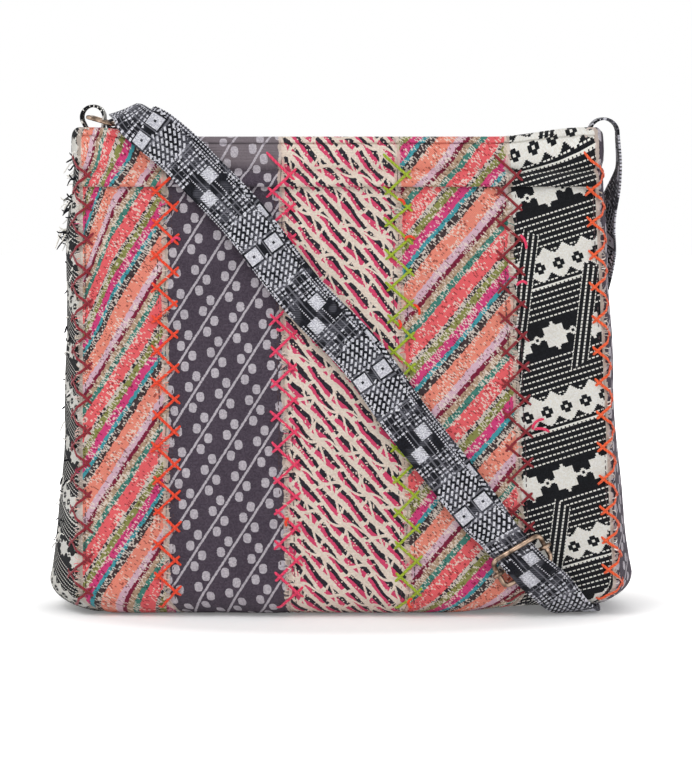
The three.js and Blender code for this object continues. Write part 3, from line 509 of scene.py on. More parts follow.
# %% Straight stitches
FINE = oval(0.62, 0.45, 6)


def straight_stitches(name, side):
    strands = []
    rows = np.arange(2.0, ROLL_ARC + 232, 3.5)
    for index in range(len(STRIP_WIDTHS)):
        for end, seam in ((1, index), (-1, index + 1)):
            for d in rows:
                points, ups = [], []
                for t, off in ((0.0, -0.75), (0.6, -0.3), (1.3, -0.2), (2.0, -0.3), (2.6, -0.75)):
                    roll = max(ROLL_ARC - d - t, 0) / ROLL
                    z = ROLL + max(d + t - ROLL_ARC, 0)
                    x = seam_x(seam, z, roll) + end * FINE_ROW_AT + 0.25 * math.sin(d / 9 + seam)
                    here = face_point(side, x, z, roll, off)
                    points.append(here)
                    ups.append(face_point(side, x, z, roll, off + 1) - here)
                strands.append(strand(points, ups, FINE))
    return lofted_on_bag(name, strands)


straight_front = straight_stitches("straight_stitches_front", -1)
straight_back = straight_stitches("straight_stitches_back", 1)


# %% [markdown]
# ## Frayed edges
# The strips are cut, not hemmed, so loose ends of the weft stick out along every seam. Each one is
# a thin curved fibre. It takes its colour from the place in the weave where it starts.

# %% Loose fibres
FIBRE = oval(0.5, 0.34, 5)


def fibres(name, side, index, count, rng):
    strands = []
    for _ in range(count):
        end = rng.choice((-1, 1))
        seam = index if end < 0 else index + 1
        d = rng.uniform(4, ROLL_ARC + 235)
        reach = rng.uniform(1.2, 4.2)
        drift = rng.uniform(-2.2, 2.2)
        lift = rng.uniform(0.2, 1.1)
        points, ups = [], []
        for t in (0, 0.35, 0.7, 1.0):
            u = end * (reach * t - 1.4)
            off = 0.1 + lift * math.sin(t * 2.2)
            there = d + drift * t * t
            here = seam_place(side, seam, u, there, off)
            points.append(here)
            ups.append(seam_place(side, seam, u, there, off + 1) - here)
        sections, around, run = strand(points, ups, FIBRE, 0.0, 0.7)
        flat_x = end * (STRIP_WIDTHS[index] / 2 - 1.5)
        flat_y = d + ROLL * (QUARTER - ROLL_END)
        strands.append((sections, [flat_x] * len(around), [flat_y] * len(run)))
    return lofted_on_bag(name, strands, edge=1.6)


fibre_pieces = []
rng = random.Random(21)
for index in range(len(STRIP_WIDTHS)):
    fibre_pieces.append(fibres(f"fibres_front_{index + 1}", -1, index, 190, rng))
    fibre_pieces.append(fibres(f"fibres_back_{index + 1}", 1, index, 90, rng))


# %% [markdown]
# The left side is cut from a loose jacquard, and ends of its threads stand out of it, most of them
# near the mouth. Short ends of yarn are also left at some of the crosses.

# %% Hanging threads and yarn ends
def hanging_threads(name, count, rng):
    strands = []
    clumps = [271, 262, 246, 244, 228, 226]
    for number in range(count):
        high = number % 5 < 3
        z = rng.gauss(rng.choice(clumps), 3.0) if high else rng.uniform(25, 214)
        length = rng.uniform(2.5, 7.5) if high else rng.uniform(1.5, 4.0)
        y = -half_depth(z) * rng.uniform(0.0, 0.8)
        drop, sway, speed = rng.uniform(-1.3, 0.7), rng.uniform(-1.6, 1.6), rng.uniform(2, 7)
        points, ups = [], []
        for t in np.linspace(0, 1, 7):
            bend = sway * math.sin(t * speed)
            place = gusset_point(-1, y, z + drop * length * t * t, 0, -0.6)
            points.append(place + vec(-length * t, bend * 0.6, bend))
            ups.append(vec(0, -1, 0.2))
        sections, around, run = strand(points, ups, FIBRE * rng.uniform(1.2, 2.4), 0.0, 0.5)
        flat_x, flat_y = rng.uniform(-30, 30), rng.uniform(0, 280)
        strands.append((sections, [flat_x] * len(around), [flat_y] * len(run)))
    return lofted_on_bag(name, strands)


def yarn_ends(name, ends):
    strands = []
    for seam, z, u, length, turn, curl in ends:
        points, ups = [], []
        for t in np.linspace(0, 1, 9):
            angle = math.radians(turn) + curl * t
            x = seam_x(seam, z) + u + length * t * math.cos(angle)
            up = z + length * t * math.sin(angle)
            off = 0.7 + 1.3 * math.sin(math.pi * t) + cover(-1, up)
            points.append(face_point(-1, x, up, 0.0, off))
            ups.append(vec(0, -1, 0))
        strands.append(strand(points, ups, THREAD, 0.0, 0.6))
    return lofted_on_bag(name, strands)


left_threads = hanging_threads("hanging_threads_left", 84, random.Random(5))
red_ends = yarn_ends("yarn_ends_red", [(3, 245, 3.5, 5.0, 70, 1.2), (3, 224, 4.0, 5.5, 120, -2.0),
                                       (3, 180, 10.5, 7.0, 60, 1.0), (3, 172, -2.0, 5.0, 10, 1.4),
                                       (2, 60, 1.0, 5.0, 200, 1.0), (3, 12, 2.0, 5.0, 150, 2.0)])
pink_ends = yarn_ends("yarn_ends_pink", [(4, 219, 9.0, 9.0, 85, 0.5), (4, 198, 8.5, 6.0, 100, 1.5),
                                         (4, 112, 9.0, 9.0, 100, -1.0), (4, 112, 10.0, 9.0, 25, -0.6),
                                         (1, 224, 9.0, 5.0, 80, 2.0), (2, 172, -4.0, 4.0, 300, 1.0)])

# %% [markdown]
# ## The strap
# One long webbing: it leaves the ring as two layers, runs down across the front, is sewn round the
# centre bar of the adjuster, threads through it, goes under the lower right corner and up the back
# to a sewn loop. Its line is a smooth curve through the same stops as the part's solid.

# %% The line of the strap
STRAP_WIDTH, STRAP_THICK = 25.0, 1.6
STAND_OFF = 4.3
LAYER_STEP, LAYER_SHIFT = 2.0, 3.5
GAP = 0.3
RING_WIRE, RING_LENGTH, RING_REACH, RING_TILT = 2.4, 28.4, 15.4, 16
ADJUSTER_WIRE, ADJUSTER_WIDTH, ADJUSTER_REACH, ADJUSTER_SKEW = 3.0, 32.4, 17.5, 14
BAR_WIRE = 2.4
TAB_WIDTH, TAB_RADIUS, TAB_STEM, TAB_LEAN = 19.0, 6.7, 12.0, 3.8
LOOP_RADIUS, LOOP_WIDTH = 8.6, 19.0
RIM_Z = BAG_HEIGHT + RIM_RISE
MOUTH_INSET = HEM_MIDDLE + HEM_RADIUS + GAP


def bulge_beside(width):
    return BULGE_TOP * (1 - (width / 2 / TOP_HALF_DEPTH) ** 2)


left_end_x = SWAY_TOP - TOP_HALF_WIDTH
right_end_x = SWAY_TOP + TOP_HALF_WIDTH
tab_outer_x = left_end_x - bulge_beside(TAB_WIDTH) + MOUTH_INSET + STRAP_THICK / 2
tab_centre = vec(tab_outer_x + TAB_LEAN, 0, RIM_Z + TAB_RADIUS + STRAP_THICK / 2)
ring_pivot = tab_centre - vec(TAB_RADIUS * 0.35, 0, 0)
ring_across = vec(math.cos(math.radians(RING_TILT)), 0, -math.sin(math.radians(RING_TILT)))
ring_far = ring_pivot + RING_REACH * ring_across
ring_fold = RING_WIRE / 2 + GAP * 2 + STRAP_THICK / 2
loop_inner_x = right_end_x + bulge_beside(LOOP_WIDTH) - MOUTH_INSET - STRAP_THICK / 2
loop_centre = vec(loop_inner_x + LOOP_RADIUS, 0, RIM_Z - 2)


def outside(side, x, z, off):
    roll = max(ROLL - z, 0) / ROLL
    return face_point(side, x, max(z, ROLL), roll, off)


def on_face(side, share, up, off=STAND_OFF, width=STRAP_WIDTH):
    z = up * BAG_HEIGHT
    x = middle_x(z) + share * half_width(z)
    along_x = outside(side, x + 1, z, off) - outside(side, x - 1, z, off)
    along_z = outside(side, x, z + 1, off) - outside(side, x, z - 1, off)
    return outside(side, x, z, off), -side * unit(np.cross(along_x, along_z)), width


def tilted(degrees):
    return vec(0, -math.sin(math.radians(degrees)), math.cos(math.radians(degrees)))


corner_z = 0.76 * BAG_HEIGHT
back_corner = vec(middle_x(corner_z) + half_width(corner_z) + 4, half_depth(corner_z) + 4, corner_z)
rim_front = -TOP_HALF_DEPTH - HEM_PROUD
under_x = middle_x(0) + 0.87 * half_width(0)
floor_z = STRAP_THICK / 2
start_z = ring_far[2] - ring_fold
strap_stops = [
    (vec(ring_far[0], -2.1, start_z), tilted(0), 15),
    (vec(ring_far[0] + 5, -2.2, start_z + 1.6), tilted(0), 15),
    (vec(ring_far[0] + 11, rim_front + 7, RIM_Z + 6.6), tilted(40), 20),
    (vec(ring_far[0] + 16.5, rim_front - 0.5, RIM_Z + 4.2), tilted(66), 23.5),
    (vec(ring_far[0] + 26, rim_front - 4.2, BAG_HEIGHT + 4), tilted(81), STRAP_WIDTH),
    on_face(-1, -0.612, 0.972), on_face(-1, -0.533, 0.93), on_face(-1, -0.372, 0.838),
    on_face(-1, -0.147, 0.676), on_face(-1, 0.072, 0.548), on_face(-1, 0.22, 0.428),
    on_face(-1, 0.378, 0.312), on_face(-1, 0.523, 0.205), on_face(-1, 0.645, 0.116),
    on_face(-1, 0.75, 0.055, STAND_OFF - 0.8), on_face(-1, 0.815, 0.01, STAND_OFF - 1.2),
    (vec(under_x - 2, -BASE_HALF_REACH - 4, floor_z + 0.35), unit(vec(0, -0.3, -1)), STRAP_WIDTH),
    (vec(under_x, -BASE_HALF_REACH * 0.6, floor_z), vec(0, 0, -1), STRAP_WIDTH),
    (vec(under_x, BASE_HALF_REACH * 0.6, floor_z), vec(0, 0, -1), STRAP_WIDTH),
    (vec(under_x, BASE_HALF_REACH + 4, floor_z + 0.35), unit(vec(0, 0.3, -1)), STRAP_WIDTH),
    on_face(1, 0.87, 0.01, STAND_OFF - 0.6), on_face(1, 0.87, 0.06, STAND_OFF - 0.3),
    on_face(1, 0.88, 0.2), on_face(1, 0.9, 0.4), on_face(1, 0.92, 0.58, STAND_OFF + 0.8),
    (back_corner, vec(0.72, 0.69, 0), 24),
    (vec(right_end_x + 9.5, TOP_HALF_DEPTH * 0.7, BAG_HEIGHT * 0.85), vec(0.93, 0.36, 0), 22),
    (vec(right_end_x + 14.5, 2, BAG_HEIGHT * 0.93), vec(1, 0.05, 0), 20),
    (loop_centre + vec(LOOP_RADIUS, 0, 0), vec(1, 0, 0), LOOP_WIDTH),
]
BAR_STOP = 13
spine_points = np.array([stop[0] for stop in strap_stops])
spine_normals = np.array([stop[1] for stop in strap_stops])
spine_widths = np.array([float(stop[2]) for stop in strap_stops])


# %% A smooth curve through the stops
def spline_at(t):
    points = np.vstack([2 * spine_points[0] - spine_points[1], spine_points,
                        2 * spine_points[-1] - spine_points[-2]])
    i = min(int(t), len(spine_points) - 2)
    p = points[i:i + 4]
    d0, d1, d2 = (np.sum(np.diff(p, axis=0) ** 2, axis=1)) ** 0.25
    m1 = ((p[1] - p[0]) / d0 - (p[2] - p[0]) / (d0 + d1) + (p[2] - p[1]) / d1) * d1
    m2 = ((p[2] - p[1]) / d1 - (p[3] - p[1]) / (d1 + d2) + (p[3] - p[2]) / d2) * d1
    w = t - i
    cubic = 2 * p[1] - 2 * p[2] + m1 + m2
    square = -3 * p[1] + 3 * p[2] - 2 * m1 - m2
    return p[1] + m1 * w + square * w * w + cubic * w**3


spline_steps = np.linspace(0, len(strap_stops) - 1, 1681)
spline_line = np.array([spline_at(t) for t in spline_steps])
spline_lengths = path_lengths(spline_line)
strap_length = spline_lengths[-1]
bar_at = float(np.interp(BAR_STOP, spline_steps, spline_lengths))


def spine_frame(distance):
    distance = min(max(distance, 0), strap_length)
    t = float(np.interp(distance, spline_lengths, spline_steps))
    i = min(int(t), len(strap_stops) - 2)
    ahead = spline_at(min(t + 0.02, len(strap_stops) - 1)) - spline_at(max(t - 0.02, 0))
    along = unit(ahead)
    normal = mix(spine_normals[i], spine_normals[i + 1], t - i)
    normal = unit(normal - along * normal.dot(along))
    across = unit(np.cross(normal, along))
    return spline_at(t), along, normal, across, mix(spine_widths[i], spine_widths[i + 1], t - i)


print("strap length in mm:", round(strap_length), "adjuster at:", round(bar_at))


# %% Layers of the strap
def keyed(keys, value):
    if value <= keys[0][0]:
        return keys[0][1]
    for (start, before), (stop, after) in zip(keys, keys[1:]):
        if value <= stop:
            return mix(before, after, float(ease(start, stop, value)))
    return keys[-1][1]


bar_fold = BAR_WIRE / 2 + GAP + STRAP_THICK / 2
over_fold = bar_fold * 2 + STRAP_THICK + GAP
upper_bar = -ADJUSTER_REACH / 2
upper_bar_under = LAYER_STEP * 2 + 0.4
lower_bar_level = 0.8
over_lower_bar = lower_bar_level + ADJUSTER_WIRE / 2 + GAP * 2 + STRAP_THICK / 2
SEWN_END = 18.0
top_keys = [(-bar_at, ring_fold * 2), (-bar_at + 9, 7.4), (-bar_at + 17, 5.4),
            (-bar_at + 34, LAYER_STEP), (-SEWN_END - 9, LAYER_STEP),
            (-SEWN_END - 1, LAYER_STEP * 2), (upper_bar, upper_bar_under), (-1.5, over_fold),
            (2.5, over_fold), (ADJUSTER_REACH / 2, over_lower_bar), (ADJUSTER_REACH / 2 + 18, 0)]
sewn_keys = [(-SEWN_END, LAYER_STEP), (upper_bar, LAYER_STEP), (0, bar_fold * 2)]
WEBBING = oval(1.0, 1.0, 28, 7)


def skew_at(offset):
    return math.radians(ADJUSTER_SKEW) * float(ease(-34, -16, offset) - ease(14, 30, offset))


def shift_at(distance):
    return LAYER_SHIFT * float(ease(4, 22, distance) - ease(bar_at - 40, bar_at - 18, distance))


def pinch_at(offset):
    return 1 - 0.06 * float(ease(-14, -6, offset) - ease(6, 14, offset))


def webbing_section(centre, across, up, width):
    outline = WEBBING * [width, STRAP_THICK]
    cupped = -0.35 * (outline[:, 0] / 12.5) ** 4
    outline = outline + np.stack([np.zeros(len(outline)), cupped], 1)
    return section(centre, across, up, outline)


def layer_section(distance, level, shift, flip):
    point, along, normal, across, width = spine_frame(distance)
    skew = skew_at(distance - bar_at)
    turned = unit(across * math.cos(skew) + along * math.sin(skew))
    centre = point + normal * level + across * shift
    ring = webbing_section(centre, turned, normal * flip, width * pinch_at(distance - bar_at))
    return ring - [0, 0, min(ring[:, 2].min(), 0)]


def fold_sections(centre, normal, along, across, radius, width, turns):
    rings = []
    for turn in np.radians(turns):
        outward = normal * math.cos(turn) + along * math.sin(turn)
        rings.append(webbing_section(centre + outward * radius, across, outward, width))
    return rings


def steps(start, stop, size):
    return np.linspace(start, stop, max(1, round(abs(stop - start) / size)) + 1)


def webbing_strand(rings, start=0.0):
    run = path_lengths(np.array([ring.mean(axis=0) for ring in rings]))
    across = list(WEBBING[:, 0] * STRAP_WIDTH)
    return rings, across + across[:1], start + run


def top_rings(start, stop, size=2.4):
    return [layer_section(d, keyed(top_keys, d - bar_at), -shift_at(d) / 2, 1)
            for d in steps(start, stop, size)]


def under_rings(start, stop, size=2.4):
    return [layer_section(d, 0, shift_at(d) / 2, -1) for d in steps(start, stop, size)]


bar_point, bar_line, bar_normal, bar_side, bar_width = spine_frame(bar_at)
skew = math.radians(ADJUSTER_SKEW)
bar_across = bar_side * math.cos(skew) + bar_line * math.sin(skew)
bar_along = bar_line * math.cos(skew) - bar_side * math.sin(skew)
bar_centre = bar_point + bar_normal * bar_fold
RING_END = 30.0
ABOVE_BAR, BELOW_BAR = 26.0, 12.0
CORNER_START = 52.0


# %% [markdown]
# The strap is made in six lengths that meet end to end. The length round the lower corner rides on
# the bag.

# %% Strap pieces
ring_frame = spine_frame(0)
ring_fold_centre = ring_frame[0] + ring_frame[2] * ring_fold
ring_rings = under_rings(RING_END, 2) + fold_sections(
    ring_fold_centre, ring_frame[2], -ring_frame[1], ring_frame[3], ring_fold, ring_frame[4],
    [165, 145, 125, 105, 85, 65, 45, 25, 10]) + top_rings(2, RING_END)
strap_ring_end = lofted("strap_ring_end", [webbing_strand(ring_rings)])
sewn_rings = [layer_section(d, keyed(sewn_keys, d - bar_at), 0, 1)
              for d in steps(bar_at - SEWN_END, bar_at - 1, 1.6)]
sewn_rings += fold_sections(bar_centre, bar_normal, bar_along, bar_across, bar_fold,
                            bar_width * pinch_at(0), [20, 40, 60, 80, 100, 120, 140, 160])
sewn_rings += under_rings(bar_at - 1, bar_at - ABOVE_BAR)
strap_fold = lofted("strap_fold_on_bar", [webbing_strand(sewn_rings)])
strap_under = lofted("strap_under_layer", [webbing_strand(under_rings(bar_at - ABOVE_BAR, RING_END))])
strap_over = lofted("strap_over_layer", [
    webbing_strand(top_rings(RING_END, bar_at - 40) + top_rings(bar_at - 38, bar_at + BELOW_BAR, 1.2),
                   RING_END)])
strap_below = lofted("strap_below_adjuster", [
    webbing_strand(top_rings(bar_at + BELOW_BAR, bar_at + CORNER_START, 1.6), bar_at + BELOW_BAR)])
round_rings = top_rings(bar_at + CORNER_START, strap_length) + fold_sections(
    loop_centre, vec(1, 0, 0), vec(0, 0, 1), vec(0, -1, 0), LOOP_RADIUS, LOOP_WIDTH,
    np.arange(12, 181, 12))
end_z = BAG_HEIGHT - 8.5
round_rings.append(webbing_section(vec(loop_inner_x, 0, end_z), vec(0, -1, 0), vec(-1, 0, 0), LOOP_WIDTH))
strap_round = lofted("strap_round_corner", [webbing_strand(round_rings, bar_at + CORNER_START)])
strap_pieces = [strap_ring_end, strap_fold, strap_under, strap_over, strap_below, strap_round]
for piece in strap_pieces:
    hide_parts("strap")
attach(strap_round, "bag")
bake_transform(strap_ring_end)
for piece in (strap_under, strap_over):
    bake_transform(piece)
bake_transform(strap_fold)
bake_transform(strap_below)


# %% [markdown]
# ## Ring, adjuster and bar
# All three are bent from round brass wire, and the adjuster's frame is closed by a plain butt
# joint. A wire is a round section carried round the outline of the bent shape.

# %% Bent wire
def bent_loop(length, reach, bend, stops=()):
    outline = []
    corners = [(1, 1), (-1, 1), (-1, -1), (1, -1)]
    for index, (cx, cy) in enumerate(corners):
        for k in range(9):
            angle = QUARTER * (index + k / 8)
            outline.append((cx * (reach / 2 - bend) + bend * math.cos(angle),
                            cy * (length / 2 - bend) + bend * math.sin(angle)))
        if index % 2 == 0:
            for u in sorted(stops, reverse=index == 0):
                outline.append((u, cy * length / 2))
        else:
            for w in np.linspace(cy * -1, cy, 9)[1:-1] * cx * cy:
                outline.append((cx * reach / 2, w * (length / 2 - bend)))
    return outline


def wire_piece(name, outline, wire, place, sides=16, joint=None):
    points = np.array([place(u, w, 0) for u, w in outline])
    ups = np.array([place(u, w, 1) for u, w in outline]) - points
    ahead = np.roll(points, -1, axis=0) - np.roll(points, 1, axis=0)
    rings, run = [], [0.0]
    round_wire = oval(wire, wire, sides)
    for i, (point, up, heading) in enumerate(zip(points, ups, ahead)):
        across = unit(np.cross(heading, up))
        normal = unit(np.cross(across, heading))
        size = 0.8 if i == joint else 1.0
        rings.append(section(point, across, normal, round_wire * size))
        run.append(run[-1] + float(np.linalg.norm(points[(i + 1) % len(points)] - point)))
    around = np.linspace(0, math.pi * wire, sides + 1)
    return lofted(name, [(rings, around, run)], closed=True)


ring_normal = unit(np.cross(ring_across, vec(0, 1, 0)))


def ring_place(u, w, n):
    return ring_pivot + ring_across * (u + RING_REACH / 2) + vec(0, w, 0) + ring_normal * n


ring_outline = bent_loop(RING_LENGTH, RING_REACH, 3)
ring_piece = wire_piece("ring_left_wire", ring_outline, RING_WIRE, ring_place)
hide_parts("ring_left")
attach(ring_piece, "ring_left")

frame_keys = [(upper_bar, upper_bar_under + STRAP_THICK / 2 + GAP + ADJUSTER_WIRE / 2 - bar_fold),
              (upper_bar * 0.3, 0.2), (0, 0), (ADJUSTER_REACH / 2, lower_bar_level - bar_fold)]


def adjuster_place(u, w, n):
    return bar_centre + bar_along * u + bar_across * w + bar_normal * (n + keyed(frame_keys, u))


adjuster_outline = bent_loop(ADJUSTER_WIDTH, ADJUSTER_REACH, 3.4, np.linspace(-4, 4, 7))
JOINT_AT = -4.0
joint = next(i for i, (u, w) in enumerate(adjuster_outline) if u < -8.7 and w < JOINT_AT)
adjuster_outline[joint:joint] = [(-ADJUSTER_REACH / 2, JOINT_AT + step) for step in (0.22, 0, -0.22)]
adjuster_piece = wire_piece("adjuster_frame_wire", adjuster_outline, ADJUSTER_WIRE, adjuster_place,
                            20, joint + 1)
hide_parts("adjuster_frame")
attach(adjuster_piece, "adjuster")


# %% [markdown]
# ## The tab that holds the ring
# A short loop of the same jacquard cloth, sewn inside the top of the left gusset.

# %% Tab
tab_rings = []


def tab_leg(x, z, outward):
    outline = oval(TAB_WIDTH, STRAP_THICK, 28, 7)
    tab_rings.append(section(vec(x, 0, z), vec(0, 1, 0), outward, outline))


tab_tape = ZIP_Z + 0.4 + GAP * 2
for z in np.linspace(RIM_Z - TAB_STEM, RIM_Z + GAP, 6):
    tab_leg(tab_outer_x, z, vec(-1, 0, 0))
for turn in np.radians(np.arange(200, -21, -10)):
    outward = vec(math.cos(turn), 0, math.sin(turn))
    tab_leg(tab_centre[0] + TAB_RADIUS * outward[0], tab_centre[2] + TAB_RADIUS * outward[2], outward)
for z in (RIM_Z - 4, tab_tape + 5, tab_tape):
    tab_leg(tab_centre[0] + TAB_RADIUS - 1, z, vec(1, 0, 0))
tab_piece = lofted("tab_left_cloth", [webbing_strand(tab_rings)])
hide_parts("tab_left")
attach(tab_piece, "bag")


# %% [markdown]
# ## Colours and nodes
# Colours are written as they look on a screen, and one function turns them to the linear values
# that Blender works with. One more function adds a node with its settings and links.

# %% Colour and node helpers
def tone(code):
    parts = [int(code[i:i + 2], 16) / 255 for i in (1, 3, 5)]
    linear = [c / 12.92 if c <= 0.04045 else ((c + 0.055) / 1.055) ** 2.4 for c in parts]
    return (*linear, 1.0)


def add(tree, kind, *inputs, out=0, **settings):
    kind, _, choice = kind.partition(" ")
    node = tree.nodes.new("ShaderNode" + kind)
    if choice:
        settings["operation" if kind == "Math" else "blend_type"] = choice
    for name, value in settings.items():
        setattr(node, name, value)
    for slot, value in enumerate(inputs):
        if isinstance(value, bpy.types.NodeSocket):
            tree.links.new(value, node.inputs[slot])
        elif value is not None:
            node.inputs[slot].default_value = value
    return node.outputs[out]


def chained(tree, kind, *parts):
    result = parts[0]
    for part in parts[1:]:
        result = add(tree, kind, result, part)
    return result


def new_material(name, roughness, metallic=0.0, sheen=0.0, specular=0.5):
    material = bpy.data.materials.new(name)
    material.use_nodes = True
    shader = material.node_tree.nodes["Principled BSDF"]
    shader.inputs["Roughness"].default_value = roughness
    shader.inputs["Metallic"].default_value = metallic
    shader.inputs["Sheen Weight"].default_value = sheen
    shader.inputs["Sheen Roughness"].default_value = 0.5
    shader.inputs["Specular IOR Level"].default_value = specular
    return material, material.node_tree, shader


def finish_material(material, slot, colour, height, depth):
    tree = material.node_tree
    shader = tree.nodes["Principled BSDF"]
    tree.links.new(colour, shader.inputs["Base Color"])
    bump = add(tree, "Bump", 1.0, depth * MM, None, height)
    tree.links.new(bump, shader.inputs["Normal"])
    material["slot"] = slot
    return material


# %% [markdown]
# ## Woven cloth
# Every cloth of the bag is heavy hand-loomed cotton. It scatters light, so it is very rough, with
# hardly any shine. The threads are drawn 0.8 mm apart, a little coarser than the real ones, so that
# they show, and the colour is darkened between them as painted shade. Each weave gets the flat
# millimetres of its own sheet, turned to its direction, and jagged edges from threads that each
# start a little earlier or later.

# %% The parts that all weaves share
THREAD_PITCH = 0.8


def flat_place(tree, turn=0.0, shift=(0, 0), size=1.0):
    place = add(tree, "UVMap")
    turned = add(tree, "Mapping", place, (*shift, 0), (0, 0, math.radians(turn)), (1 / size,) * 3)
    x = add(tree, "SeparateXYZ", turned)
    return x, x.node.outputs[1]


def per_thread(tree, a, b=0.0, pitch_a=THREAD_PITCH, pitch_b=THREAD_PITCH):
    cell_a = add(tree, "Math FLOOR", add(tree, "Math DIVIDE", a, pitch_a))
    if isinstance(b, float):
        return add(tree, "TexWhiteNoise", None, cell_a, noise_dimensions="1D")
    cell_b = add(tree, "Math FLOOR", add(tree, "Math DIVIDE", b, pitch_b))
    both = add(tree, "CombineXYZ", cell_a, cell_b, 0.0)
    return add(tree, "TexWhiteNoise", both, noise_dimensions="2D")


def ridges(tree, x, pitch=THREAD_PITCH):
    wave = add(tree, "Math SINE", add(tree, "Math MULTIPLY", x, math.pi / pitch))
    return add(tree, "Math ABSOLUTE", wave)


def soft_noise(tree, a, b, scale_a, scale_b, detail=2.0):
    both = add(tree, "CombineXYZ", add(tree, "Math MULTIPLY", a, scale_a),
               add(tree, "Math MULTIPLY", b, scale_b), 0.0)
    return add(tree, "TexNoise", both, None, 1.0, detail, noise_dimensions="2D")


def repeated(tree, x, size):
    share = add(tree, "Math FRACT", add(tree, "Math DIVIDE", x, size))
    return add(tree, "Math MULTIPLY", add(tree, "Math SUBTRACT", share, 0.5), size)


def weighed(tree, a, weight_a, b, weight_b):
    return add(tree, "Math MULTIPLY_ADD", a, weight_a, add(tree, "Math MULTIPLY", b, weight_b))


def raw_edge(tree, colour, ruffle):
    edge = add(tree, "Attribute", attribute_name="edge_mm", out=2)
    near = add(tree, "MapRange", edge, 0.6, 3.6, 1.0, 0.0)
    mask = add(tree, "Math GREATER_THAN", add(tree, "Math ADD", near, ruffle), 1.12)
    return add(tree, "MixRGB", add(tree, "Math MULTIPLY", mask, 0.7), colour, tone("#EBD9CB"))


def woven(name, slot, rib_depth, weave, *choices):
    material, tree, _ = new_material(name, 0.88, sheen=0.08, specular=0.14)
    colour, rib, x, y = weave(tree, *choices)
    grain = soft_noise(tree, x, y, 0.9, 0.9, 3.0)
    wash = soft_noise(tree, x, y, 0.035, 0.035, 2.0)
    # The rib term darkens the colour between threads as painted shade; grain and wash are random tone.
    shade = weighed(tree, rib, 0.18, grain, 0.24)
    shade = add(tree, "Math ADD", add(tree, "Math MULTIPLY_ADD", wash, 0.2, 0.68), shade)
    colour = add(tree, "MixRGB MULTIPLY", 1.0, colour, shade)
    colour = raw_edge(tree, colour, soft_noise(tree, x, y, 0.8, 0.28, 2.0))
    height = add(tree, "Math MULTIPLY_ADD", grain, 0.8, rib)
    return finish_material(material, slot, colour, height, rib_depth)


# %% [markdown]
# The striped cloth is cut on the bias: eleven stripes repeat. In patches the cream weft comes to
# the face, so a stripe turns from solid colour to fine cream dashes and back again. A colour ramp
# with hard steps holds one repeat.

# %% Striped cloth
STRIPES = [("#F0907C", 9.0, 0.0), ("#DDB8C8", 4.2, 0.0), ("#80203C", 2.4, 0.0),
           ("#B99C82", 3.6, 0.2), ("#46867A", 3.6, 0.15), ("#EF676C", 9.0, 0.0),
           ("#34303A", 2.4, 1.0), ("#8E9050", 4.2, 0.2), ("#D8447F", 5.0, 0.0),
           ("#459EA9", 2.6, 0.0), ("#46383A", 4.5, 0.35)]
STRIPE_REPEAT = sum(width for _, width, _ in STRIPES)


def stripe_ramp(tree, share, values):
    ramp = add(tree, "ValToRGB", share)
    bands = ramp.node.color_ramp
    bands.interpolation = "CONSTANT"
    at = 0.0
    for number, (value, (_, width, _)) in enumerate(zip(values, STRIPES)):
        stop = bands.elements[number] if number < 2 else bands.elements.new(at)
        stop.position = at
        stop.color = value
        at += width / STRIPE_REPEAT
    return ramp


def striped(tree, angle, scale, shift, bend=0.0):
    u, v = flat_place(tree)
    sine, cosine = math.sin(math.radians(angle)), math.cos(math.radians(angle))
    across = weighed(tree, u, sine, v, -cosine)
    steep = add(tree, "MapRange", v, 130.0, 220.0, 0.0, bend)
    at_left = add(tree, "Math MINIMUM", add(tree, "Math ADD", u, 6.0), 0.0)
    across = add(tree, "Math MULTIPLY_ADD", steep, at_left, across)
    along = weighed(tree, u, cosine, v, sine)
    drift = weighed(tree, soft_noise(tree, u, v, 0.02, 0.02, 1.0), 3.0, per_thread(tree, along), 0.7)
    moved = chained(tree, "Math ADD", across, drift, shift)
    share = add(tree, "Math FRACT", add(tree, "Math DIVIDE", moved, STRIPE_REPEAT * scale))
    colour = stripe_ramp(tree, share, [tone(stripe[0]) for stripe in STRIPES])
    speckled = stripe_ramp(tree, share, [(s[2], s[2], s[2], 1.0) for s in STRIPES])
    chance = per_thread(tree, along, across, 0.6, 1.3)
    patch = soft_noise(tree, along, across, 0.075, 0.13, 1.0)
    density = add(tree, "MapRange", patch, 0.5, 0.58, 0.05, 0.34)
    density = add(tree, "Math MULTIPLY_ADD", speckled, 0.5, density)
    fleck = add(tree, "Math LESS_THAN", chance, density)
    colour = add(tree, "MixRGB", add(tree, "Math MULTIPLY", fleck, 0.75), colour, tone("#F3E6DA"))
    speck = add(tree, "Math GREATER_THAN", chance, 0.9)
    colour = add(tree, "MixRGB MULTIPLY", speck, colour, tone("#B59C9C"))
    return colour, ridges(tree, along), u, v


# %% [markdown]
# The dotted cloth is a grey purple ground with pale dots in pairs and a thin line after every
# second row. Both sit on a slanting lattice, so the cloth is measured in steps of that lattice.

# %% Dotted cloth
ROW_STEP = (2.2, -12.2)
LINE_STEP = (13.1, 20.6)
DOT_OFFSET, DOT_HALF = (2.2, 3.2), (2.3, 2.9)


def steps_along(tree, u, v, first, second):
    area = first[0] * second[1] - first[1] * second[0]
    return (weighed(tree, u, second[1] / area, v, -second[0] / area),
            weighed(tree, v, first[0] / area, u, -first[1] / area))


def from_steps(tree, a, b, first, second):
    return weighed(tree, a, first[0], b, second[0]), weighed(tree, a, first[1], b, second[1])


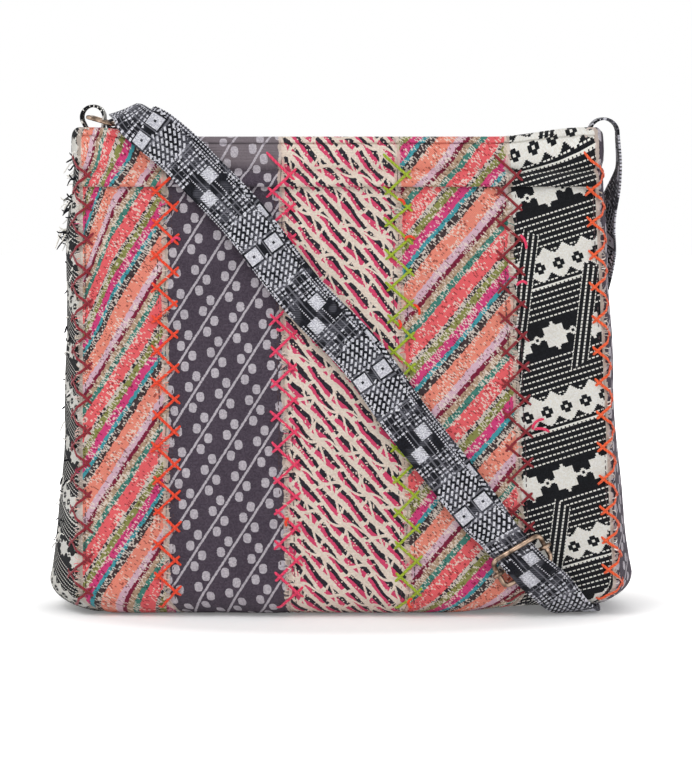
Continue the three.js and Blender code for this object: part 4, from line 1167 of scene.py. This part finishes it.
def dotted(tree, turn=0.0, shift=(0, 0)):
    u, v = flat_place(tree, turn, shift)
    x = add(tree, "Math MULTIPLY_ADD", per_thread(tree, v, 0.0, 0.7), 0.35, u)
    a, b = steps_along(tree, x, v, ROW_STEP, LINE_STEP)
    near_a, near_b = repeated(tree, a, 1.0), repeated(tree, b, 1.0)
    half = add(tree, "Math SIGN", near_b)
    dx, dy = from_steps(tree, near_a, near_b, ROW_STEP, LINE_STEP)
    dx = weighed(tree, dx, 1 / DOT_HALF[0], half, -DOT_OFFSET[0] / DOT_HALF[0])
    dy = weighed(tree, dy, 1 / DOT_HALF[1], half, -DOT_OFFSET[1] / DOT_HALF[1])
    round_x = add(tree, "Math POWER", add(tree, "Math ABSOLUTE", dx), 2.6)
    round_y = add(tree, "Math POWER", add(tree, "Math ABSOLUTE", dy), 2.6)
    dot = add(tree, "Math LESS_THAN", add(tree, "Math ADD", round_x, round_y), 1.0)
    line = add(tree, "Math COMPARE", repeated(tree, a, 2.0), 0.0, 0.078)
    pale = add(tree, "Math MAXIMUM", dot, line)
    dim = per_thread(tree, u, v, 0.7, 0.7)
    ground = add(tree, "MixRGB", dim, tone("#433A46"), tone("#584E5A"))
    top = add(tree, "MapRange", v, 288.0, 296.0, 0.0, 0.4)
    ground = add(tree, "MixRGB", top, ground, tone("#A79C9F"))
    mark = add(tree, "MixRGB", dim, tone("#B0A8B2"), tone("#CFC9CF"))
    return add(tree, "MixRGB", pale, ground, mark), ridges(tree, v, 0.8), u, v


# %% [markdown]
# The scale cloth has cream scales outlined on a cream ground. Each scale holds slanting dashes,
# a black one with a pink one just below it, and the dashes stop at the outline.

# %% Scale cloth
SCALE_DOWN = (7.0, -24.8)
SCALE_ACROSS = (20.4, -7.2)


def scaled(tree, turn=0.0, shift=(0, 0)):
    u, v = flat_place(tree, turn, shift)
    warp = add(tree, "Math MULTIPLY", soft_noise(tree, u, v, 0.06, 0.06, 1.0), 1.8)
    jag = add(tree, "Math MULTIPLY_ADD", per_thread(tree, v, 0.0, 0.8), 0.5, warp)
    x = add(tree, "Math ADD", u, jag)
    y = add(tree, "Math ADD", v, warp)
    a, b = steps_along(tree, x, y, SCALE_DOWN, SCALE_ACROSS)
    wave = add(tree, "Math SINE", add(tree, "Math MULTIPLY", b, math.tau))
    a = add(tree, "Math MULTIPLY_ADD", wave, 0.08, a)
    near_a, near_b = repeated(tree, a, 1.0), repeated(tree, b, 1.0)
    rows = weighed(tree, b, 1.5, a, -1.5)
    band = repeated(tree, rows, 1.0)
    run = add(tree, "Math MULTIPLY_ADD", add(tree, "Math FLOOR", rows), 0.37, add(tree, "Math ADD", a, b))
    black = add(tree, "Math MULTIPLY", add(tree, "Math COMPARE", band, 0.17, 0.17),
                add(tree, "Math COMPARE", repeated(tree, run, 1.0), 0.0, 0.455))
    run = add(tree, "Math ADD", run, 0.06)
    pink = add(tree, "Math MULTIPLY", add(tree, "Math COMPARE", band, -0.16, 0.16),
               add(tree, "Math COMPARE", repeated(tree, run, 1.0), 0.0, 0.44))
    edge = add(tree, "Math MAXIMUM", add(tree, "Math ABSOLUTE", near_a),
               add(tree, "Math ABSOLUTE", near_b))
    thread = per_thread(tree, v, u, 0.8, 0.8)
    inner = chained(tree, "Math MULTIPLY", add(tree, "Math LESS_THAN", edge, 0.463),
                    add(tree, "Math GREATER_THAN", thread, 0.06))
    cream = add(tree, "MixRGB", thread, tone("#E6D3C4"), tone("#F4E6D8"))
    colour = add(tree, "MixRGB", add(tree, "Math MULTIPLY", pink, inner), cream, tone("#DD4A72"))
    ink = add(tree, "MixRGB", thread, tone("#1F1E27"), tone("#37343C"))
    colour = add(tree, "MixRGB", add(tree, "Math MULTIPLY", black, inner), colour, ink)
    return colour, ridges(tree, v, 0.8), u, v


# %% [markdown]
# The jacquard cloth is woven in black and cream. Bands follow each other up the cloth: stars,
# rows of dashes, small flowers and a zigzag, which are common in folk weaving, with upright
# columns of dashes here and there. Rounding every place to one thread gives the stepped outlines
# of a real weave, so the sizes below are counted in threads.

# %% Star jacquard
BANDS = 96.0
CELL = 0.85
STAR_STEP, FLOWER_STEP, DASH_STEP, DASH_ROW_STEP = 26.0, 14.0, 3.0, 4.0
STAR_LEVEL, FLOWER_LEVEL, BAND_LEVEL, LINE_LEVEL = -27.0, 20.0, 24.0, 7.5
COLUMN_STEP, COLUMN_LEAN = 38.0, -0.16
HALF_TURN = 0.71


def starred(tree, turn, shift=(0, 0), size=1.0, columns=True):
    u, v = flat_place(tree, turn, shift, size)
    x = add(tree, "Math ADD", add(tree, "Math FLOOR", add(tree, "Math DIVIDE", u, CELL)), 0.5)
    y = add(tree, "Math ADD", add(tree, "Math FLOOR", add(tree, "Math DIVIDE", v, CELL)), 0.5)
    level = repeated(tree, y, BANDS)
    # Solid stars with eight points, in a row of their own
    sx = add(tree, "Math ABSOLUTE", repeated(tree, x, STAR_STEP))
    sy = add(tree, "Math ABSOLUTE", add(tree, "Math SUBTRACT", level, STAR_LEVEL))
    turned_x = add(tree, "Math ABSOLUTE", weighed(tree, sx, HALF_TURN, sy, -HALF_TURN))
    turned_y = weighed(tree, sx, HALF_TURN, sy, HALF_TURN)
    points = []
    for a, b in ((sx, sy), (turned_x, turned_y)):
        reach = add(tree, "Math MULTIPLY_ADD", add(tree, "Math MINIMUM", a, b), 1.3,
                    add(tree, "Math MAXIMUM", a, b))
        points.append(add(tree, "Math LESS_THAN", reach, 10.4))
    star = add(tree, "Math MAXIMUM", *points)
    # Small diamonds with an eye between the stars
    dx = add(tree, "Math SUBTRACT", STAR_STEP / 2, sx)
    small = add(tree, "Math COMPARE", add(tree, "Math ADD", dx, sy), 2.4, 1.3)
    star = add(tree, "Math MAXIMUM", star, small)
    # Rows of short dashes on black, away from the stars
    dash = chained(tree, "Math MULTIPLY",
                   add(tree, "Math COMPARE", repeated(tree, y, DASH_ROW_STEP), 0.5, 0.6),
                   add(tree, "Math LESS_THAN", repeated(tree, x, DASH_STEP), 0.6),
                   add(tree, "Math GREATER_THAN", sy, 13.0))
    # A cream band between two zigzags, with black flowers
    zigzag = add(tree, "Math ABSOLUTE", repeated(tree, x, FLOWER_STEP))
    rough = add(tree, "Math MULTIPLY_ADD", zigzag, 0.8, level)
    band = add(tree, "Math COMPARE", rough, BAND_LEVEL, 9.0)
    moved = add(tree, "Math ADD", x, FLOWER_STEP / 2)
    fx = add(tree, "Math ABSOLUTE", repeated(tree, moved, FLOWER_STEP))
    fy = add(tree, "Math ABSOLUTE", add(tree, "Math SUBTRACT", level, FLOWER_LEVEL))
    petals = add(tree, "Math LESS_THAN", add(tree, "Math MAXIMUM", fx, fy), 3.8)
    notch = add(tree, "Math LESS_THAN", add(tree, "Math MINIMUM", fx, fy), 2.2)
    eye = add(tree, "Math GREATER_THAN", add(tree, "Math ADD", fx, fy), 1.2)
    flower = chained(tree, "Math MULTIPLY", petals, notch, eye)
    band = add(tree, "Math GREATER_THAN", add(tree, "Math SUBTRACT", band, flower), 0.5)
    near_band = add(tree, "Math COMPARE", rough, BAND_LEVEL, 10.6)
    dash = add(tree, "Math GREATER_THAN", add(tree, "Math SUBTRACT", dash, near_band), 0.5)
    line = add(tree, "Math COMPARE", level, LINE_LEVEL, 0.6)
    pale = chained(tree, "Math MAXIMUM", star, dash, band, line)
    if columns:
        flat_u, flat_v = flat_place(tree)
        lean = weighed(tree, flat_u, 1.0, flat_v, COLUMN_LEAN)
        lean = repeated(tree, add(tree, "Math ADD", lean, 34.0), COLUMN_STEP)
        patch = soft_noise(tree, flat_u, flat_v, 0.004, 0.013, 0.0)
        column = add(tree, "Math MULTIPLY", add(tree, "Math COMPARE", lean, 0.0, 4.8),
                     add(tree, "Math GREATER_THAN", patch, 0.5))
        tall = add(tree, "Math MULTIPLY", add(tree, "Math COMPARE", repeated(tree, lean, 3.2), 0.0, 0.5),
                   add(tree, "Math LESS_THAN", repeated(tree, flat_v, 2.1), 0.5))
        pale = add(tree, "MixRGB", column, pale, tall)
    shade = per_thread(tree, u, v, 0.7, 0.7)
    light = add(tree, "MixRGB", shade, tone("#F4F0E6"), tone("#FFFEFA"))
    dark = add(tree, "MixRGB", shade, tone("#08090D"), tone("#181A20"))
    colour = add(tree, "MixRGB", pale, dark, light)
    return colour, ridges(tree, add(tree, "Math ADD", u, v), 0.75), u, v


# %% [markdown]
# The strap is a narrow webbing in black, grey and white. Along it follow a block of four squares,
# a grey cross hatch, a block of short slanting dashes and a white square at each edge, and then
# the same in mirror order. Two thin dotted lines follow each edge.

# %% Strap webbing
WEBBING_REPEAT, WEBBING_START = 99.0, 64.5
SQUARES_HALF, HATCH_MIDDLE, BLOCK_MIDDLE, EDGE_SQUARE_AT = 10.0, 18.5, 35.2, 7.2
HATCH_ACROSS, HATCH_ALONG, DASH_COLUMN = 3.1, 5.2, 2.6


def webbing(tree):
    u, v = flat_place(tree)
    phase = repeated(tree, add(tree, "Math ADD", v, WEBBING_START), WEBBING_REPEAT)
    far = add(tree, "Math ABSOLUTE", phase)
    side = add(tree, "Math ABSOLUTE", u)
    slant = weighed(tree, u, HALF_TURN, v, HALF_TURN)
    cross = weighed(tree, u, HALF_TURN, v, -HALF_TURN)
    fine = add(tree, "Math LESS_THAN", repeated(tree, cross, 1.3), 0.33)
    # Four squares, two white and two black with a dotted line
    four = add(tree, "Math MULTIPLY", add(tree, "Math LESS_THAN", far, SQUARES_HALF),
               add(tree, "Math LESS_THAN", side, 9.8))
    same = add(tree, "Math LESS_THAN", add(tree, "Math MULTIPLY", u, phase), 0.0)
    square = add(tree, "Math MULTIPLY", add(tree, "Math COMPARE", side, 5.0, 3.9),
                 add(tree, "Math COMPARE", far, 5.0, 4.2))
    four_pale = add(tree, "Math MULTIPLY", add(tree, "Math MULTIPLY", same, square),
                    add(tree, "Math MAXIMUM", fine, add(tree, "Math COMPARE", side, 5.0, 2.4)))
    dots = add(tree, "Math MULTIPLY", add(tree, "Math COMPARE", side, 4.8, 0.4),
               add(tree, "Math LESS_THAN", repeated(tree, v, 1.5), 0.0))
    four_pale = add(tree, "Math MULTIPLY", four, add(tree, "Math MAXIMUM", four_pale, dots))
    # Cross hatch with short pale dashes among it
    hatch = add(tree, "Math COMPARE", far, HATCH_MIDDLE, 8.5)
    grid = add(tree, "Math MAXIMUM", add(tree, "Math COMPARE", repeated(tree, u, HATCH_ACROSS), 0.0, 0.3),
               add(tree, "Math COMPARE", repeated(tree, v, HATCH_ALONG), 0.0, 0.35))
    barred = chained(tree, "Math MULTIPLY", hatch,
                     add(tree, "Math LESS_THAN", repeated(tree, v, HATCH_ALONG / 2), -0.2),
                     add(tree, "Math GREATER_THAN", soft_noise(tree, u, v, 0.2, 0.16, 0.0), 0.5),
                     add(tree, "Math LESS_THAN", repeated(tree, u, HATCH_ACROSS), 0.6))
    # Short dashes in slanting columns, in a pointed block
    block = add(tree, "Math MULTIPLY_ADD", side, 0.45,
                add(tree, "Math ABSOLUTE", add(tree, "Math SUBTRACT", far, BLOCK_MIDDLE)))
    block = add(tree, "Math LESS_THAN", block, 11.5)
    counted = add(tree, "Math DIVIDE", add(tree, "Math ADD", slant, 560.0), DASH_COLUMN)
    column = add(tree, "Math FLOOR", counted)
    step = add(tree, "Math MULTIPLY_ADD", column, 1.6, cross)
    dash = add(tree, "Math MULTIPLY", add(tree, "Math LESS_THAN", repeated(tree, step, 4.4), 0.7),
               add(tree, "Math LESS_THAN", repeated(tree, slant, DASH_COLUMN), 0.05))
    # A white square with a small eye at each edge
    away = add(tree, "Math ABSOLUTE", add(tree, "Math SUBTRACT", far, WEBBING_REPEAT / 2))
    off = add(tree, "Math ABSOLUTE", add(tree, "Math SUBTRACT", side, EDGE_SQUARE_AT))
    most = add(tree, "Math MAXIMUM", away, off)
    edge_square = add(tree, "Math COMPARE", most, 2.5, 1.7)
    framed = add(tree, "Math LESS_THAN", most, 5.4)
    pale = chained(tree, "Math MAXIMUM", four_pale, barred, add(tree, "Math MULTIPLY", block, dash))
    pale = add(tree, "MixRGB", framed, pale, edge_square)
    rim = add(tree, "Math MAXIMUM", add(tree, "Math COMPARE", side, 10.7, 0.45),
              add(tree, "Math COMPARE", side, 12.2, 0.3))
    rim = chained(tree, "Math MULTIPLY", rim, add(tree, "Math LESS_THAN", repeated(tree, v, 1.9), 0.1),
                  add(tree, "Math GREATER_THAN", soft_noise(tree, u, v, 0.03, 0.09, 0.0), 0.46))
    pale = add(tree, "Math MAXIMUM", pale, add(tree, "Math SUBTRACT", rim, framed))
    grey = chained(tree, "Math MAXIMUM", add(tree, "Math MULTIPLY", hatch, grid),
                   add(tree, "Math COMPARE", side, 2.0, 0.35),
                   add(tree, "Math COMPARE", far, 43.4, 0.6), add(tree, "Math COMPARE", far, 26.0, 0.6))
    shade = per_thread(tree, u, v, 0.6, 0.6)
    dark = add(tree, "MixRGB", shade, tone("#08090D"), tone("#20212A"))
    lifted = add(tree, "MapRange", soft_noise(tree, u, v, 0.1, 0.1, 1.0), 0.48, 0.6, 0.0, 0.5)
    dark = add(tree, "MixRGB", add(tree, "Math MULTIPLY", lifted, fine), dark, tone("#6E6E78"))
    dark = add(tree, "MixRGB", add(tree, "Math MULTIPLY", grey, 0.45), dark, tone("#9A9AA4"))
    light = add(tree, "MixRGB", shade, tone("#B4B4C0"), tone("#F2F2F8"))
    return add(tree, "MixRGB", pale, dark, light), ridges(tree, v, 0.7), u, v


# %% [markdown]
# Now each weave becomes a material, and each piece gets the one it is sewn from. The ribs of the
# heavy cloth stand 0.3 mm high, and those of the tighter webbing a little less.

# %% Cloth materials
RIB = 0.3
stripe_left = woven("bias_striped_cotton_left", "stripe_cloth", RIB, striped, 58, 0.84, 20.0, 0.55)
stripe_right = woven("bias_striped_cotton_right", "stripe_cloth", RIB, striped, 49, 1.0, 6.0)
dotted_cloth = woven("dotted_cotton", "dotted_cloth", RIB, dotted)
dotted_side = woven("dotted_cotton_side", "dotted_cloth", RIB, dotted, 20.0, (5, 9))
scale_cloth = woven("scale_cotton", "scale_cloth", RIB, scaled)
star_cloth = woven("star_jacquard", "star_cloth", RIB, starred, -17.0, (6, 10))
star_side = woven("star_jacquard_side", "star_cloth", RIB, starred, 30.0, (12, 4), 0.6, False)
strap_cloth = woven("patterned_webbing", "strap_webbing", 0.25, webbing)
CLOTH_OF = {
    "front_strip_stripe_left": stripe_left, "front_strip_dotted": dotted_cloth,
    "front_strip_scale": scale_cloth, "front_strip_stripe_right": stripe_right,
    "front_strip_star": star_cloth, "back_strip_scale_left": scale_cloth,
    "back_strip_stripe_left": stripe_right, "back_strip_dotted": dotted_cloth,
    "back_strip_scale_right": scale_cloth, "back_strip_stripe_right": stripe_left,
    "gusset_left": star_side, "gusset_right": dotted_side, "base_panel": dotted_side,
}


def dress(piece, material):
    piece.data.materials.clear()
    piece.data.materials.append(material)
    "slot" in material


for node, piece in cloth_pieces.items():
    dress(piece, CLOTH_OF[node])
for piece in strap_pieces:
    dress(piece, strap_cloth)
dress(tab_piece, star_side)
for number, (node, _) in enumerate(FRONT):
    dress(fibre_pieces[number * 2], CLOTH_OF[node])
for number, (node, _) in enumerate(BACK):
    dress(fibre_pieces[number * 2 + 1], CLOTH_OF[node])


# %% [markdown]
# ## Thread
# The crosses are a soft plied cotton yarn. The plies wind round it as slanting ridges, and the
# grooves between them are darkened as painted shade.

# %% Thread materials
def plied(name, slot, colour_code, pitch=2.6, depth=0.35):
    material, tree, _ = new_material(name, 0.7, sheen=0.35, specular=0.35)
    u, v = flat_place(tree)
    wound = add(tree, "Math ADD", add(tree, "Math DIVIDE", v, pitch), add(tree, "Math MULTIPLY", u, 0.4))
    ply = add(tree, "Math ABSOLUTE", add(tree, "Math SINE", add(tree, "Math MULTIPLY", wound, math.pi)))
    hair = soft_noise(tree, u, v, 2.5, 0.8, 2.0)
    # The ply term darkens the grooves between plies as painted shade; the hair noise is random tone.
    shade = add(tree, "Math ADD", add(tree, "Math MULTIPLY", ply, 0.35),
                    add(tree, "Math MULTIPLY", hair, 0.5))
    shade = add(tree, "Math ADD", shade, 0.52)
    colour = add(tree, "MixRGB MULTIPLY", 1.0, tone(colour_code), shade)
    return finish_material(material, slot, colour, add(tree, "Math ADD", ply, hair), depth)


THREADS = [plied("plied_yarn_dark_red", "thread_dark_red", "#8E1226"),
           plied("plied_yarn_orange_red", "thread_orange_red", "#F4431F"),
           plied("plied_yarn_pink", "thread_pink", "#F03B66"),
           plied("plied_yarn_lime", "thread_lime", "#9FB524"),
           plied("plied_yarn_dark_red_2", "thread_dark_red", "#86101F"),
           plied("plied_yarn_orange", "thread_orange", "#F65F2E")]
machine_thread = plied("machine_thread", "thread_dark_red", "#4A3438", 0.8, 0.1)
for node, piece in stitch_rows.items():
    dress(piece, THREADS[int(node[-1]) - 1])
dress(straight_front, machine_thread)
dress(left_threads, star_side)
dress(red_ends, THREADS[1])
dress(pink_ends, THREADS[2])
dress(straight_back, machine_thread)


# %% [markdown]
# ## Brass and the zip
# The wire is brass with an old brown finish, rubbed bright in random patches. The zip has black
# cotton tapes and black plastic teeth.

# %% Metal, tape and plastic
def aged_brass(name):
    material, tree, shader = new_material(name, 0.34, metallic=1.0)
    place = add(tree, "TexCoord", out=3)
    cloud = add(tree, "TexNoise", place, None, 260.0, 4.0)
    scratch = add(tree, "TexNoise", place, None, 1400.0, 3.0)
    worn = add(tree, "MapRange", cloud, 0.4, 0.62, 0.0, 1.0)
    colour = add(tree, "MixRGB", worn, tone("#66564A"), tone("#B39A86"))
    rough = add(tree, "MapRange", scratch, 0.3, 0.7, 0.24, 0.44)
    tree.links.new(rough, shader.inputs["Roughness"])
    return finish_material(material, "antique_brass", colour, scratch, 0.08)


def tape_cloth(name, slot, dark_code, light_code, roughness=0.9):
    material, tree, _ = new_material(name, roughness, sheen=0.1, specular=0.3)
    place = add(tree, "TexCoord", out=3)
    x = add(tree, "SeparateXYZ", place)
    y = x.node.outputs[1]
    slant = add(tree, "Math ADD", add(tree, "Math ABSOLUTE", y), x)
    twill = ridges(tree, slant, 0.0011)
    grain = add(tree, "TexNoise", place, None, 900.0, 2.0)
    # Twill ridges lighten the colour and leave the grooves darker as painted shade, mixed with random
    # grain.
    blend = add(tree, "Math MULTIPLY", twill, grain)
    colour = add(tree, "MixRGB", blend, tone(dark_code), tone(light_code))
    return finish_material(material, slot, colour, add(tree, "Math ADD", twill, grain), 0.15)


brass = aged_brass("aged_brass")
zip_tape = tape_cloth("black_zip_tape", "zip_tape", "#15151A", "#37373E")
zip_plastic = tape_cloth("black_nylon_teeth", "zip_coil", "#101013", "#2A2A2E", 0.45)
lining_cloth = tape_cloth("dark_cotton_lining", "lining_cloth", "#232228", "#45434B")
dress(ring_piece, brass)
dress(adjuster_piece, brass)
CAD_FINISH = {"zip_tape_front": zip_tape, "zip_tape_back": zip_tape, "zip_teeth": zip_plastic,
              "zip_slider": brass, "zip_puller": brass, "zip_stop_right": brass,
              "adjuster_bar": brass, "lining": lining_cloth}
for node, material in CAD_FINISH.items():
    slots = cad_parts[node].material_slots
    for slot in slots:
        slot.material = material


# %% [markdown]
# ## Stage and light
# A plain pale floor under soft light from above left and a weaker fill from the right. The camera
# sees white behind the bag, and the floor keeps the soft shadow.

# %% Stage and light
bpy.ops.object.select_all(action="DESELECT")
bpy.ops.mesh.primitive_plane_add(size=8, location=(0, 0, -0.0003))
floor = bpy.context.object
floor.name = "floor"
bpy.ops.object.transform_apply(location=True)
paper, tree, shader = new_material("pale_paper", 0.9, specular=0.0)
shader.inputs["Base Color"].default_value = tone("#F4F4F4")
shader.inputs["Emission Color"].default_value = (1, 1, 1, 1)
place = add(tree, "Mapping", add(tree, "TexCoord", out=3), None, None, (0.55, 1, 1))
away = add(tree, "VectorMath", place, out=1, operation="LENGTH")
glow = add(tree, "MapRange", away, 0.09, 0.17, 0.16, 1.0)
ray = add(tree, "LightPath")
seen = add(tree, "Math MAXIMUM", ray, ray.node.outputs["Is Glossy Ray"])
tree.links.new(add(tree, "Math MULTIPLY", seen, glow), shader.inputs["Emission Strength"])
dress(floor, paper)

world = bpy.data.worlds.new("studio")
scene.world = world
world.use_nodes = True
tree = world.node_tree
ray = add(tree, "LightPath")
seen = add(tree, "Math MAXIMUM", ray, add(tree, "Math MAXIMUM", ray.node.outputs["Is Glossy Ray"],
                                            ray.node.outputs["Is Transmission Ray"]))
strength = add(tree, "MapRange", seen, 0.0, 1.0, 0.62, 1.0)
tree.links.new(strength, tree.nodes["Background"].inputs["Strength"])
tree.nodes["Background"].inputs["Color"].default_value = (1, 1, 1, 1)


def lamp(name, place, size, power):
    bpy.ops.object.light_add(type="AREA", location=place)
    light = bpy.context.object
    light.name = name
    light.data.size = size
    light.data.energy = power
    aim = Vector((0, 0, 0.12)) - Vector(place)
    light.rotation_euler = aim.to_track_quat("-Z", "Y").to_euler()


lamp("key", (-0.9, -1.1, 1.6), 1.1, 14)
lamp("fill", (1.4, -1.2, 0.9), 1.4, 6)
lamp("back", (0.3, 1.4, 1.3), 1.2, 6)
scene.view_settings.view_transform = "Standard"
